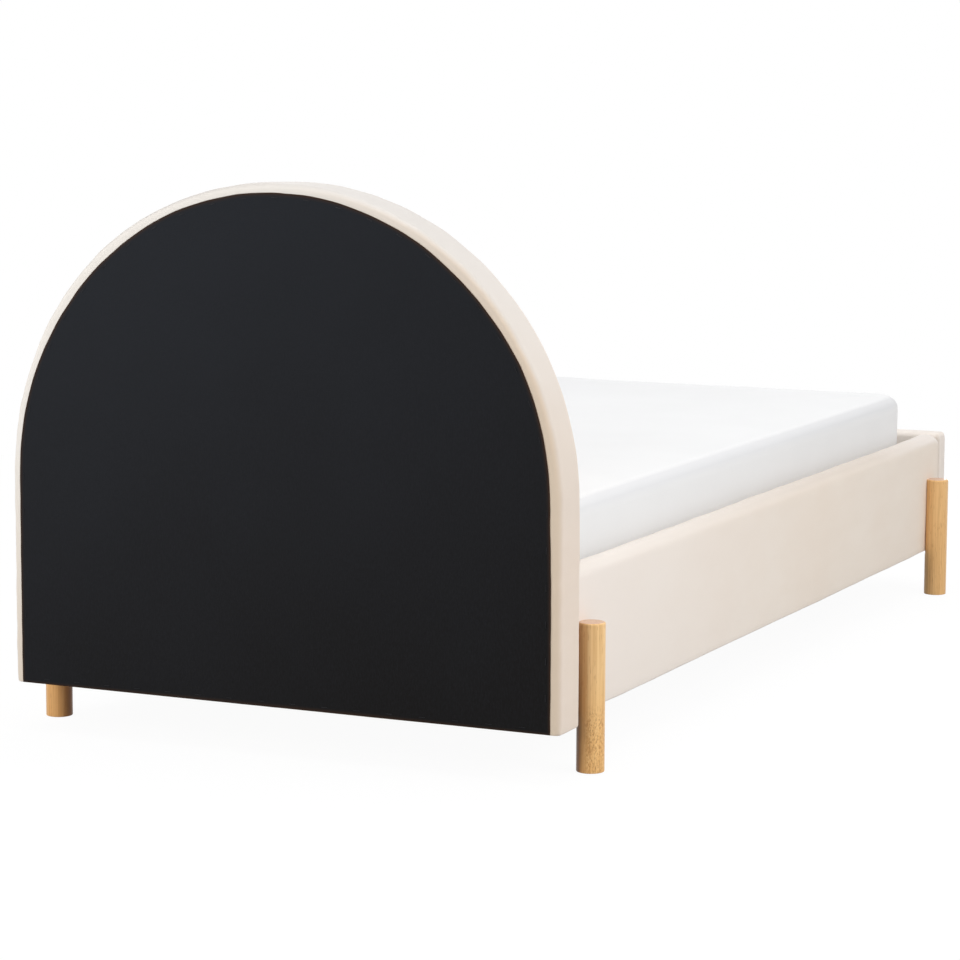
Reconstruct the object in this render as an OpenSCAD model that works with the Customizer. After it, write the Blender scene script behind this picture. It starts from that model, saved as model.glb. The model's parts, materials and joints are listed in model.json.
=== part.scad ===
// Upholstered single bed with an arched headboard, round wooden legs and a slat base.
// Millimetres. X is the width, Y runs from the foot end to the headboard, Z is up from the floor.
// Left and right are as seen by someone at the foot end who looks at the headboard: left is -X.

/* [Sleeping area] */
// Nominal width of the mattress that the frame takes
sleep_w = 900; // [700:10:1200]
// Nominal length of the mattress that the frame takes
sleep_l = 2000; // [1600:10:2400]
// Gap between the nominal mattress and each side rail
side_gap = 3; // [2:1:15]
// Spare length beyond the nominal mattress
foot_room = 30; // [15:5:60]

/* [Mattress] */
// Height of the mattress at its edges
mattress_t = 178; // [100:2:300]
// How much narrower the mattress is than its nominal width
mattress_slack_w = 16; // [10:2:40]
// How much shorter the mattress is than its nominal length
mattress_slack_l = 40; // [10:2:60]
// Gap between the mattress and the headboard's padding
mattress_head_gap = 6; // [2:1:20]
// Radius of the mattress's upright corners
mattress_corner_r = 80; // [40:5:120]
// Radius of the mattress's soft top edge
mattress_top_r = 30; // [15:1:40]
// Radius of the mattress's soft bottom edge
mattress_low_r = 18; // [10:1:30]
// How much the middle of the mattress's top stands above its edge
mattress_crown = 4; // [1:1:15]
// How far each side draws in between its corners
mattress_pull = 3; // [0:1:5]
// Thickness of the quilted cover at the sides
mattress_cover_t = 8; // [7:1:12]

/* [Side rails] */
// Thickness of a covered side rail
rail_t = 39; // [38:1:60]
// Height of a covered side rail
rail_h = 248; // [210:1:320]
// Height of the side rails' underside above the floor
rail_z = 92; // [60:1:140]
// Thickness of the board inside a rail
board_t = 24; // [18:1:28]
// Foam over the top edge of the board
rail_foam_top = 14; // [8:1:24]
// Foam on the inner face of the board
rail_foam_in = 3; // [2:1:6]
// Radius of the rail's outer top edge
rail_top_out_r = 20; // [10:1:22]
// Radius of the rail's inner top edge
rail_top_in_r = 14; // [8:1:16]
// Radius of the rail's lower edges
rail_low_r = 5; // [3:1:8]
// Width of the velvet turned in along the inner face, from below
rail_flap_h = 20; // [10:1:22]

/* [Footboard] */
// Thickness of the covered footboard
foot_t = 46; // [40:1:60]
// Radius of the footboard's top edges
foot_top_r = 12; // [6:1:16]
// Radius of the footboard's outer upright edges
foot_end_r = 8; // [4:1:12]
// Foam over the ends of the footboard's board
foot_end_foam = 4; // [3:1:10]

/* [Headboard] */
// Height of the headboard above the floor
head_h = 960; // [800:5:1200]
// Height of the headboard's lower edge above the floor
head_z = 84; // [50:1:140]
// Thickness of the headboard over its padding
head_t = 96; // [80:1:116]
// How far the headboard stands out beyond each side rail
head_overhang = 23; // [0:1:80]
// Thickness of the headboard's front panel
head_panel_t = 9; // [4:1:12]
// Thickness of the headboard's inner frame
head_frame_t = 45; // [35:1:50]
// Radial width of the arch ribs
rib_w = 80; // [60:1:110]
// Number of arch ribs
rib_n = 4; // [3:1:8]
// Width of the two outer stiles
stile_w = 110; // [100:1:140]
// Width of the centre stile, the cross rails and the bottom rail
batten_w = 60; // [40:1:90]
// Height of the cross rails' lower edge above the headboard's lower edge
cross_rail_up = 400; // [300:5:440]
// Foam round the headboard's edge
edge_foam_t = 8; // [7:1:14]
// Radius of the padded front edge
front_edge_r = 25; // [15:1:28]
// Radius of the rear edge
back_edge_r = 10; // [6:1:10]
// Radius of the padded front edge at the bottom
bottom_edge_r = 14; // [6:1:20]
// How much the middle of the padded front stands out
head_crown = 5; // [1:1:12]
// Width of the flat border round the crown
crown_border = 66; // [60:1:120]
// Width of the velvet turned onto the back
back_margin = 45; // [30:1:60]
// How far the back cloth's edge lies inside the headboard's outline
cloth_inset = 16; // [8:1:25]
// Distance between staples round the back cloth
staple_pitch = 60; // [40:5:120]

/* [Cover and cloth] */
// Thickness of the velvet cover
cover_t = 2; // [1:0.5:3]
// Thickness of the back cloth
cloth_t = 1; // [0.5:0.1:1.5]
// Clearance between foam and cover
soft_gap = 0.2; // [0.1:0.1:0.5]

/* [Legs] */
// Leg diameter
leg_d = 47; // [40:1:70]
// Leg height
leg_h = 250; // [230:1:300]
// Depth of the flat milled where the leg meets the rail
leg_seat = 3.5; // [2:0.5:6]
// Distance from the headboard's front to the middle of the head legs
leg_from_head = 42; // [38:1:60]
// Distance from the footboard's inner face to the middle of the foot legs
leg_from_foot = 75; // [70:1:90]
// Radius of the leg's top rim
leg_top_r = 3; // [1:0.5:6]
// Radius of the leg's bottom rim
leg_low_r = 1.5; // [0.5:0.5:4]

/* [Brackets and bolts] */
// Thickness of the bracket plate
plate_t = 4; // [3:0.5:5]
// Length of the bracket's wing along the rail
wing_rail = 110; // [105:1:130]
// Length of the bracket's wing along the headboard or footboard
wing_end = 50; // [45:1:60]
// Height of the bracket
plate_h = 72; // [60:1:72]
// Height of the bracket's lower edge above the rail's underside
plate_up = 24; // [22:1:26]
// Distance from the bracket's upper or lower edge to its holes
hole_edge = 16; // [14:1:20]
// Bolt diameter
bolt_d = 8; // [6:1:8]
// How far each bolt reaches into its nut
bolt_grip = 14; // [8:1:14]
// Outer diameter of the insert nuts
insert_d = 12; // [10:1:13]
// Length of the insert nuts
insert_l = 18; // [14:1:20]
// Wood screw diameter
screw_d = 4; // [3:0.5:5]
// Length of the ledge screws
ledge_screw_l = 40; // [34:1:44]
// Length of the bracket screws
plate_screw_l = 18; // [12:1:20]

/* [Slat base] */
// Depth of the ledge from the rail's board
ledge_w = 25; // [22:1:40]
// Height of the ledge
ledge_h = 30; // [20:1:32]
// Height of the ledge's top above the rail's underside
ledge_up = 130; // [129:1:150]
// Screws along each ledge
ledge_screws_n = 6; // [3:1:10]
// Gap between the slat base and each side rail
base_side_gap = 6; // [3:1:8]
// How much shorter the slat base is than the nominal mattress
base_slack_l = 10; // [5:1:30]
// Gap between the slat base and the headboard's padding
base_head_gap = 10; // [6:1:20]
// Width of the steel tubes
tube_w = 30; // [25:1:40]
// Height of the steel tubes
tube_h = 20; // [15:1:30]
// Wall of the steel tubes
tube_wall = 1.5; // [1:0.1:2]
// Number of slats
slat_n = 14; // [8:1:18]
// Width of a slat
slat_w = 65; // [50:1:75]
// Thickness of a slat
slat_t = 8; // [7:1:14]
// Wall of a slat holder
holder_wall = 3; // [2:0.5:4]

/* [Hidden] */

// Plan of the frame
rail_in = sleep_w / 2 + side_gap;
rail_out = rail_in + rail_t;
inner_l = sleep_l + foot_room;
total_l = head_t + inner_l + foot_t;
y_back = total_l / 2;
y_front = y_back - head_t;
y_foot = y_front - inner_l;
y_end = -total_l / 2;

// Small clearances and steps shared by many pieces
eps = 1;
bolt_play = 0.3;
glue_joint = 0.2;
screw_play = 0.1;
nut_play = 0.1;
hole_over = 3;
sharp_r = 0.1;

// Facets of round pieces, and steps along rounded edges
arch_fn = 180;
leg_fn = 72;
bar_fn = 32;
peg_fn = 24;
low_steps = 6;
top_steps = 8;
crown_steps = 6;

// Side rails: positions are for the right rail, the left one is its mirror image
flap_over_ledge = 10;
skin = cover_t + soft_gap;
rail_top = rail_z + rail_h;
board_in = rail_in + cover_t + rail_foam_in;
board_out = board_in + board_t;
board_z = rail_z + skin;
board_top = rail_top - skin - rail_foam_top;
board_y0 = y_foot + skin;
board_y1 = y_front - skin;
window_z0 = rail_z + rail_flap_h;
window_z1 = rail_z + ledge_up + flap_over_ledge;

// Footboard
foot_inner_r = 2.5;
foot_board_y1 = y_foot - cover_t - rail_foam_in;
foot_board_y0 = foot_board_y1 - board_t;
foot_board_x = rail_out - skin - foot_end_foam;

// Headboard: depths are measured from the very back
head_r = rail_out + head_overhang;
arch_z = head_h - head_r;
staple_wire = 0.6;
staple_wire_w = 1;
staple_crown_l = 11;
staple_leg_l = 9;
staple_inset = 8;
staple_corner_keep = 20;
cloth_d = staple_wire;
flap_d = cloth_d + cloth_t;
frame_d = flap_d + skin;
panel_d = frame_d + head_frame_t;
pad_d = panel_d + head_panel_t;
frame_r = head_r - skin - edge_foam_t;
frame_z = head_z + skin;
rib_in = frame_r - rib_w;
stile_in = frame_r - stile_w;
cross_z = head_z + cross_rail_up;
flat_half = head_r - front_edge_r;
cloth_r = head_r - cloth_inset;
cloth_z = head_z + cloth_t;

// Brackets, and the bolt lines that they share with the legs
end_hole_inset = 30;
bolt_hole_d = bolt_d + 1;
plate_z0 = rail_z + plate_up;
plate_z1 = plate_z0 + plate_h;
bolt_zs = [plate_z0 + hole_edge, plate_z1 - hole_edge];
plate_x1 = board_in;
plate_x0 = plate_x1 - plate_t;
end_hole_x = plate_x1 - end_hole_inset;
crown_x = min(head_r - crown_border, plate_x1 - wing_end - eps);
leg_x = rail_out + leg_d / 2 - leg_seat;
leg_head_y = y_front - leg_from_head;
leg_foot_y = y_foot + leg_from_foot;
washer_d = 2 * bolt_d;
washer_t = 1.6;
bolt_head_d = 1.6 * bolt_d;
bolt_head_h = 0.6 * bolt_d;
block_over = 8;
block_keep = 2;
block_x0 = plate_x1 - wing_end - block_over;
block_z0 = head_z + bottom_edge_r + block_keep;
block_z1 = rail_top - block_keep;
block_x1 = arch_half(flat_half, block_z1) - block_keep;
tee_flange_d = 20;
tee_flange_t = 1.5;
tee_barrel_d = 10;
tee_barrel_l = 20;
leg_bolt_l = rail_out - plate_x0 + washer_t + bolt_grip;
head_bolt_l = plate_t + washer_t + head_t - frame_d - tee_barrel_l + bolt_grip;
foot_bolt_l = plate_t + washer_t + y_foot - foot_board_y1 + bolt_grip;
screw_head_d = 2 * screw_d;
screw_head_h = 3;
pan_head_d = 3 * screw_d;
ledge_end_gap = 15;
ledge_screw_end = 60;
seat_over = 6;

// Slat base
ledge_top = rail_z + ledge_up;
ledge_x0 = board_in - ledge_w;
base_x = rail_in - base_side_gap;
base_y1 = y_front - base_head_gap;
base_y0 = base_y1 - (sleep_l - base_slack_l);
tube_z = ledge_top;
tube_top = tube_z + tube_h;
slat_z = tube_top + holder_wall;
slat_top = slat_z + slat_t;
slat_end_play = 4;
slat_side_play = 1;
holder_over = 6;
holder_low = 2;
slat_end_margin = tube_w + holder_wall + slat_end_play;
slat_pitch = (base_y1 - base_y0 - 2 * slat_end_margin - slat_w) / (slat_n - 1);
slat_half = base_x - holder_wall - slat_side_play;
holder_l = tube_w + holder_over;
peg_d = 8;
peg_l = 6;
plug_l = 12;
plug_flange = 2;

// Mattress
mattress_x = (sleep_w - mattress_slack_w) / 2;
mattress_l = sleep_l - mattress_slack_l;
mattress_y1 = y_front - head_crown - mattress_head_gap;
mattress_y0 = mattress_y1 - mattress_l;
mattress_z = slat_top;
corner_follow = 0.7;
long_steps = 8;
short_steps = 5;
crown_scales = [0.85, 0.65, 0.4, 0.15];
core_min = 3;
core_keep = 2;

function leg_ys() = [leg_head_y, leg_foot_y];
function slat_y(i) = base_y0 + slat_end_margin + slat_w / 2 + i * slat_pitch;

// Half width, at height z, of an arch of radius r
function arch_half(r, z) = z > arch_z ? sqrt(r ^ 2 - (z - arch_z) ^ 2) : r;

// Points of an arc round c, from angle a0 to a1
function arc(c, r, a0, a1, n) =
    [for (i = [0:n]) let (a = a0 + (a1 - a0) * i / n) c + r * [cos(a), sin(a)]];

// Extrudes a shape drawn in X and Z along Y
module along_y(y0, y1) {
    translate([0, y1, 0]) rotate([90, 0, 0]) linear_extrude(y1 - y0) children();
}

// Extrudes a shape drawn in Y and Z along X
module along_x(x0, x1) {
    translate([x0, 0, 0]) rotate([90, 0, 90]) linear_extrude(x1 - x0) children();
}

// Box between two corners
module block(lo, hi) {
    translate(lo) cube(hi - lo);
}

// Draws its children for the right side, or mirrored for the left side
module on_side(side) {
    if (side > 0) children();
    else mirror([1, 0, 0]) children();
}

module both_sides() {
    on_side(1) children();
    on_side(-1) children();
}

// Round bar along X from x0 to x1
module bar_x(x0, x1, y, z, d) {
    translate([x0, y, z]) rotate([0, 90, 0]) cylinder(h = x1 - x0, d = d, $fn = bar_fn);
}

// Round bar along Y from y0 to y1
module bar_y(x, y0, y1, z, d) {
    translate([x, y1, z]) rotate([90, 0, 0]) cylinder(h = y1 - y0, d = d, $fn = bar_fn);
}

// Outline with four rounded corners: radii run from the lower left corner, anticlockwise
module rounded(x0, y0, x1, y1, radii) {
    polygon(concat(
        arc([x0 + radii[0], y0 + radii[0]], radii[0], 180, 270, low_steps),
        arc([x1 - radii[1], y0 + radii[1]], radii[1], 270, 360, low_steps),
        arc([x1 - radii[2], y1 - radii[2]], radii[2], 0, 90, top_steps),
        arc([x0 + radii[3], y1 - radii[3]], radii[3], 90, 180, top_steps)
    ));
}

// Arched outline: straight sides up to the spring line, then a half circle
module arch(r, z0) {
    intersection() {
        union() {
            translate([0, arch_z]) circle(r, $fn = arch_fn);
            translate([-r, z0]) square([2 * r, arch_z - z0]);
        }
        translate([-r, z0]) square([2 * r, arch_z + r - z0]);
    }
}

// Half section of the padded headboard at inset e: distance from the middle line, depth from the back
function pad_half(e) =
    let (r = head_r - e, back = flap_d + e, front = head_t - e, rb = back_edge_r - e, rf = front_edge_r - e)
    concat(
        arc([r - rb, back + rb], rb, -90, 0, low_steps),
        arc([r - rf, front - rf], rf, 0, 90, top_steps),
        [for (i = [0:crown_steps])
            let (s = 1 - i / crown_steps) [crown_x * s, front + head_crown * (1 - s * s) ^ 2]]
    );

// Side view of the headboard at inset e, with its bottom edges rounded
module head_side_view(e) {
    rounded(y_front - head_crown - eps + e, head_z + e, y_back - flap_d - e, arch_z,
        [bottom_edge_r + head_crown + eps - e, sharp_r, sharp_r, sharp_r]);
}

// The headboard's outer form at inset e
module padded_arch(e) {
    half = concat([[0, flap_d + e]], pad_half(e));
    other = [for (i = [len(half) - 2:-1:1]) [-half[i][0], half[i][1]]];
    translate([0, y_back, arch_z]) rotate([90, 0, 0])
        rotate_extrude(angle = 180, $fn = arch_fn) polygon(half);
    intersection() {
        translate([0, y_back, head_z]) linear_extrude(arch_z - head_z) mirror([0, 1])
            polygon(concat(half, other));
        along_x(-head_r - eps, head_r + eps) head_side_view(e);
    }
}

// Headboard bolt holes, all the way through
module head_bolt_holes(d) {
    both_sides() for (z = bolt_zs) bar_y(end_hole_x, y_front - eps, y_back, z, d);
}

// Sectors of the arch with a glue joint between neighbours
module headboard_arch_ribs() {
    joint = asin(glue_joint / frame_r);
    sweep = 180 / rib_n;
    color("burlywood")
    for (i = [0:rib_n - 1]) {
        start = i * sweep + (i > 0 ? joint : 0);
        translate([0, y_back - frame_d, arch_z]) rotate([90, 0, 0]) rotate([0, 0, start])
            rotate_extrude(angle = (i + 1) * sweep - start, $fn = arch_fn)
                translate([rib_in, 0]) square([rib_w, head_frame_t]);
    }
}

module headboard_stile(side) {
    color("burlywood")
    on_side(side) difference() {
        block([stile_in, y_back - panel_d, frame_z], [frame_r, y_back - frame_d, arch_z]);
        for (z = bolt_zs) bar_y(end_hole_x, y_front, y_back, z, tee_barrel_d + 2 * nut_play);
    }
}

module headboard_centre_stile() {
    top = arch_z + sqrt(rib_in ^ 2 - (batten_w / 2) ^ 2) - glue_joint;
    color("burlywood")
    block([-batten_w / 2, y_back - panel_d, frame_z + batten_w], [batten_w / 2, y_back - frame_d, top]);
}

module headboard_bottom_rail() {
    color("burlywood")
    block([-stile_in, y_back - panel_d, frame_z], [stile_in, y_back - frame_d, frame_z + batten_w]);
}

// Ends at the narrower of the stiles and the arch ribs
module headboard_cross_rails() {
    end_x = min(stile_in, arch_half(rib_in, cross_z + batten_w) - glue_joint);
    color("burlywood")
    both_sides()
        block([batten_w / 2, y_back - panel_d, cross_z], [end_x, y_back - frame_d, cross_z + batten_w]);
}

module headboard_front_panel() {
    color("tan")
    difference() {
        along_y(y_back - pad_d, y_back - panel_d) arch(frame_r, frame_z);
        head_bolt_holes(bolt_hole_d);
    }
}

module headboard_block(side) {
    color("peru")
    on_side(side) difference() {
        block([block_x0, y_front + skin, block_z0], [block_x1, y_back - pad_d, block_z1]);
        for (z = bolt_zs) bar_y(end_hole_x, y_front, y_back, z, bolt_hole_d);
    }
}

module headboard_front_foam() {
    color("lemonchiffon")
    difference() {
        intersection() {
            padded_arch(skin);
            block([-head_r, y_front - head_crown - eps, 0], [head_r, y_back - pad_d, head_h]);
        }
        both_sides() block([block_x0 - soft_gap, y_front - head_crown - eps, block_z0 - soft_gap],
            [block_x1 + soft_gap, y_back, block_z1 + soft_gap]);
    }
}

module headboard_edge_foam() {
    color("lemonchiffon")
    difference() {
        intersection() {
            padded_arch(skin);
            block([-head_r, y_back - pad_d, 0], [head_r, y_back - frame_d, head_h]);
        }
        along_y(y_back - pad_d - eps, y_back) arch(frame_r + glue_joint, head_z - eps);
    }
}

module headboard_cover() {
    color("antiquewhite")
    difference() {
        padded_arch(0);
        padded_arch(cover_t);
        along_y(y_back - frame_d - eps, y_back + eps) arch(head_r - back_margin, head_z + cover_t);
        head_bolt_holes(bolt_hole_d);
    }
}

module headboard_back_cloth() {
    color([0.11, 0.11, 0.12])
    along_y(y_back - flap_d, y_back - cloth_d) arch(cloth_r, cloth_z);
}

// One staple: its crown lies on the cloth and its two legs stand in the wood
module staple() {
    half = staple_crown_l / 2;
    translate([-half, -staple_wire, 0]) cube([staple_crown_l, staple_wire, staple_wire_w]);
    for (x = [-half, half - staple_wire_w])
        translate([x, -staple_wire - staple_leg_l, 0])
            cube([staple_wire_w, staple_leg_l + staple_wire, staple_wire_w]);
}

module back_cloth_staples() {
    line_r = cloth_r - staple_inset;
    arch_n = round(PI * line_r / staple_pitch);
    side_n = floor((arch_z - cloth_z - staple_corner_keep) / staple_pitch);
    bottom_n = floor(2 * (line_r - staple_corner_keep) / staple_pitch);
    color([0.2, 0.2, 0.22])
    translate([0, y_back, 0]) {
        for (i = [0:arch_n]) translate([0, 0, arch_z]) rotate([0, -i * 180 / arch_n, 0])
            translate([line_r, 0, 0]) rotate([0, 90, 0]) staple();
        for (side = [-1, 1], i = [1:side_n])
            translate([side * line_r, 0, arch_z - i * staple_pitch]) rotate([0, 90, 0]) staple();
        for (i = [0:bottom_n])
            translate([(i - bottom_n / 2) * staple_pitch, 0, cloth_z + staple_inset]) staple();
    }
}

// Outline of a covered side rail at inset e
module rail_section(e) {
    rounded(rail_in + e, rail_z + e, rail_out - e, rail_top - e,
        [rail_low_r - e, rail_low_r - e, rail_top_out_r - e, rail_top_in_r - e]);
}

module side_rail_board(side) {
    color("tan")
    on_side(side) difference() {
        block([board_in, board_y0, board_z], [board_out, board_y1, board_top]);
        for (z = bolt_zs, y = leg_ys()) bar_x(board_in - eps, board_out + eps, y, z, bolt_hole_d);
        for (z = bolt_zs, y = [y_front - leg_from_foot, y_foot + leg_from_head])
            bar_x(board_in - eps, board_in + plate_screw_l, y, z, screw_d + 2 * screw_play);
        for (i = [0:ledge_screws_n - 1])
            bar_x(board_in - eps, ledge_x0 + ledge_screw_l + 1, ledge_screw_y(i), ledge_top - ledge_h / 2,
                screw_d + 2 * screw_play);
    }
}

module side_rail_foam(side) {
    color("lemonchiffon")
    on_side(side) difference() {
        along_y(board_y0, board_y1) rail_section(skin);
        block([0, board_y0 - eps, 0], [board_out, board_y1 + eps, board_top]);
        block([0, board_y0 - eps, 0], [board_in, board_y1 + eps, window_z1]);
        for (z = bolt_zs, y = leg_ys()) bar_x(board_in, rail_out, y, z, bolt_hole_d);
    }
    color("lemonchiffon")
    on_side(side) intersection() {
        along_y(board_y0, board_y1) rail_section(skin);
        block([0, board_y0, window_z1], [board_in, board_y1, board_top]);
    }
}

module side_rail_cover(side) {
    color("antiquewhite")
    on_side(side) difference() {
        along_y(y_foot, y_front) rail_section(0);
        along_y(y_foot + cover_t, y_front - cover_t) rail_section(cover_t);
        block([rail_in - eps, y_foot - eps, window_z0], [board_in, y_front + eps, window_z1]);
        for (z = bolt_zs, y = leg_ys()) bar_x(board_out, rail_out + eps, y, z, bolt_hole_d);
    }
}

// Outline of the footboard in side view at inset e
module foot_section(e) {
    rounded(y_end + e, rail_z + e, y_foot - e, rail_top - e,
        [rail_low_r - e, rail_low_r - e, foot_top_r - e, foot_top_r - e]);
}

// Outline of the footboard in plan at inset e
module foot_plan(e) {
    rounded(-rail_out + e, y_end + e, rail_out - e, y_foot - e,
        [foot_end_r - e, foot_end_r - e, foot_inner_r - e / 2, foot_inner_r - e / 2]);
}

module foot_form(e) {
    intersection() {
        along_x(-rail_out + e, rail_out - e) foot_section(e);
        linear_extrude(rail_top + eps) foot_plan(e);
    }
}

// Holes for the footboard bolts, from the inner face down to y0
module foot_bolt_holes(y0, d) {
    both_sides() for (z = bolt_zs) bar_y(end_hole_x, y0, y_foot + eps, z, d);
}

module footboard_board() {
    color("tan")
    difference() {
        block([-foot_board_x, foot_board_y0, board_z], [foot_board_x, foot_board_y1, board_top]);
        foot_bolt_holes(foot_board_y1 - insert_l - hole_over, insert_d + 2 * nut_play);
    }
}

module footboard_foam() {
    color("lemonchiffon")
    difference() {
        foot_form(skin);
        block([-foot_board_x, foot_board_y0, 0], [foot_board_x, foot_board_y1, board_top]);
        foot_bolt_holes(foot_board_y1 - eps, bolt_hole_d);
    }
}

module footboard_cover() {
    color("antiquewhite")
    difference() {
        foot_form(0);
        foot_form(cover_t);
        foot_bolt_holes(foot_board_y1 - eps, bolt_hole_d);
    }
}

function ledge_screw_y(i) =
    let (y0 = y_foot + ledge_end_gap + ledge_screw_end, y1 = y_front - ledge_end_gap - ledge_screw_end)
    y0 + (y1 - y0) * i / (ledge_screws_n - 1);

module slat_ledge(side) {
    z = ledge_top - ledge_h / 2;
    color("burlywood")
    on_side(side) difference() {
        block([ledge_x0, y_foot + ledge_end_gap, ledge_top - ledge_h],
            [board_in, y_front - ledge_end_gap, ledge_top]);
        for (i = [0:ledge_screws_n - 1]) {
            bar_x(ledge_x0 - eps, board_in + eps, ledge_screw_y(i), z, screw_d + 2 * screw_play);
            bar_x(ledge_x0 - eps, ledge_x0 + screw_head_h, ledge_screw_y(i), z,
                screw_head_d + 2 * screw_play);
        }
    }
}

// Screw along X whose head lies against x0, with the shank running to x0 + l
module screw_x(x0, l, y, z, head_d) {
    bar_x(x0 - screw_head_h, x0, y, z, head_d);
    bar_x(x0 - eps, x0 + l, y, z, screw_d);
}

module ledge_screws() {
    z = ledge_top - ledge_h / 2;
    color("silver")
    both_sides() for (i = [0:ledge_screws_n - 1])
        screw_x(ledge_x0 + screw_head_h, ledge_screw_l - screw_head_h, ledge_screw_y(i), z, screw_head_d);
}

// Bracket for the right-hand head corner; the foot corner's is its mirror image
module bracket_plate(y_face, away) {
    rail_y = [y_face, y_face - away * wing_rail];
    end_y = [y_face, y_face - away * plate_t];
    difference() {
        union() {
            block([plate_x0, min(rail_y), plate_z0], [plate_x1, max(rail_y), plate_z1]);
            block([plate_x1 - wing_end, min(end_y), plate_z0], [plate_x1, max(end_y), plate_z1]);
        }
        for (z = bolt_zs) {
            for (d = [leg_from_head, leg_from_foot])
                bar_x(plate_x0 - eps, plate_x1 + eps, y_face - away * d, z, bolt_d + 2 * bolt_play);
            bar_y(end_hole_x, min(end_y) - eps, max(end_y) + eps, z, bolt_d + 2 * bolt_play);
        }
    }
}

module corner_bracket(side, y_face, away) {
    color("dimgray")
    on_side(side) bracket_plate(y_face, away);
}

module bracket_screws() {
    color("silver")
    both_sides() for (z = bolt_zs, y = [y_front - leg_from_foot, y_foot + leg_from_head])
        screw_x(plate_x0, plate_t + plate_screw_l - eps, y, z, pan_head_d);
}

module headboard_bolts() {
    y_head = y_front - plate_t - washer_t;
    color("silver")
    both_sides() for (z = bolt_zs) {
        bar_y(end_hole_x, y_head - bolt_head_h, y_head, z, bolt_head_d);
        bar_y(end_hole_x, y_head - eps, y_head + head_bolt_l, z, bolt_d);
    }
}

module headboard_tee_nuts() {
    color("gold")
    both_sides() for (z = bolt_zs) difference() {
        union() {
            bar_y(end_hole_x, y_back - frame_d, y_back - frame_d + tee_flange_t, z, tee_flange_d);
            bar_y(end_hole_x, y_back - frame_d - tee_barrel_l, y_back - frame_d + eps, z, tee_barrel_d);
        }
        bar_y(end_hole_x, y_front, y_back, z, bolt_d + 2 * nut_play);
    }
}

module footboard_bolts() {
    y_head = y_foot + plate_t + washer_t;
    color("silver")
    both_sides() for (z = bolt_zs) {
        bar_y(end_hole_x, y_head, y_head + bolt_head_h, z, bolt_head_d);
        bar_y(end_hole_x, y_head - foot_bolt_l, y_head + eps, z, bolt_d);
    }
}

module footboard_insert_nuts() {
    color("gold")
    both_sides() for (z = bolt_zs) difference() {
        bar_y(end_hole_x, foot_board_y1 - insert_l, foot_board_y1, z, insert_d);
        bar_y(end_hole_x, foot_board_y1 - insert_l - eps, foot_board_y1 + eps, z, bolt_d + 2 * nut_play);
    }
}

module bolt_washers() {
    bore = bolt_d + 2 * bolt_play;
    color("silver")
    both_sides() for (z = bolt_zs) {
        for (y = leg_ys()) difference() {
            bar_x(plate_x0 - washer_t, plate_x0, y, z, washer_d);
            bar_x(plate_x0 - washer_t - eps, plate_x0 + eps, y, z, bore);
        }
        for (y = [y_front - plate_t - washer_t, y_foot + plate_t]) difference() {
            bar_y(end_hole_x, y, y + washer_t, z, washer_d);
            bar_y(end_hole_x, y - eps, y + washer_t + eps, z, bore);
        }
    }
}

// A turned leg, milled flat where it stands against the rail
module leg(side, y) {
    r = leg_d / 2;
    outline = concat([[0, 0]], arc([r - leg_low_r, leg_low_r], leg_low_r, -90, 0, 3),
        arc([r - leg_top_r, leg_h - leg_top_r], leg_top_r, 0, 90, 5), [[0, leg_h]]);
    color("sandybrown")
    on_side(side) difference() {
        translate([leg_x, y, 0]) rotate_extrude($fn = leg_fn) polygon(outline);
        block([rail_out - leg_d, y - leg_d, rail_z - seat_over], [rail_out, y + leg_d, leg_h + eps]);
        for (z = bolt_zs)
            bar_x(rail_out - eps, rail_out + insert_l + hole_over, y, z, insert_d + 2 * nut_play);
    }
}

module leg_bolts() {
    x_head = plate_x0 - washer_t;
    color("silver")
    both_sides() for (z = bolt_zs, y = leg_ys()) {
        bar_x(x_head - bolt_head_h, x_head, y, z, bolt_head_d);
        bar_x(x_head - eps, x_head + leg_bolt_l, y, z, bolt_d);
    }
}

module leg_insert_nuts() {
    color("gold")
    both_sides() for (z = bolt_zs, y = leg_ys()) difference() {
        bar_x(rail_out, rail_out + insert_l, y, z, insert_d);
        bar_x(rail_out - eps, rail_out + insert_l + eps, y, z, bolt_d + 2 * nut_play);
    }
}

// Centre lines of the peg holes along a side tube
module peg_holes(side, d) {
    for (i = [0:slat_n - 1])
        translate([side * (base_x - tube_w / 2), slat_y(i), tube_top - peg_l - eps])
            cylinder(h = peg_l + 2 * eps, d = d, $fn = peg_fn);
}

module slat_tube_side(side) {
    color("gray")
    difference() {
        on_side(side) block([base_x - tube_w, base_y0, tube_z], [base_x, base_y1, tube_top]);
        on_side(side) block([base_x - tube_w + tube_wall, base_y0 - eps, tube_z + tube_wall],
            [base_x - tube_wall, base_y1 + eps, tube_top - tube_wall]);
        peg_holes(side, peg_d + 2 * screw_play);
    }
}

module slat_tube_cross(y0) {
    half = base_x - tube_w;
    color("gray")
    difference() {
        block([-half, y0, tube_z], [half, y0 + tube_w, tube_top]);
        block([-half - eps, y0 + tube_wall, tube_z + tube_wall],
            [half + eps, y0 + tube_w - tube_wall, tube_top - tube_wall]);
    }
}

module tube_end_plugs() {
    fit = tube_wall + screw_play;
    color([0.15, 0.15, 0.15])
    both_sides() for (end = [[base_y0, -1], [base_y1, 1]]) {
        y = end[0];
        out = [y, y + end[1] * plug_flange];
        inside = [y + end[1], y - end[1] * plug_l];
        block([base_x - tube_w, min(out), tube_z], [base_x, max(out), tube_top]);
        block([base_x - tube_w + fit, min(inside), tube_z + fit],
            [base_x - fit, max(inside), tube_top - fit]);
    }
}

module slats() {
    color("wheat")
    for (i = [0:slat_n - 1])
        block([-slat_half, slat_y(i) - slat_w / 2, slat_z], [slat_half, slat_y(i) + slat_w / 2, slat_top]);
}

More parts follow.
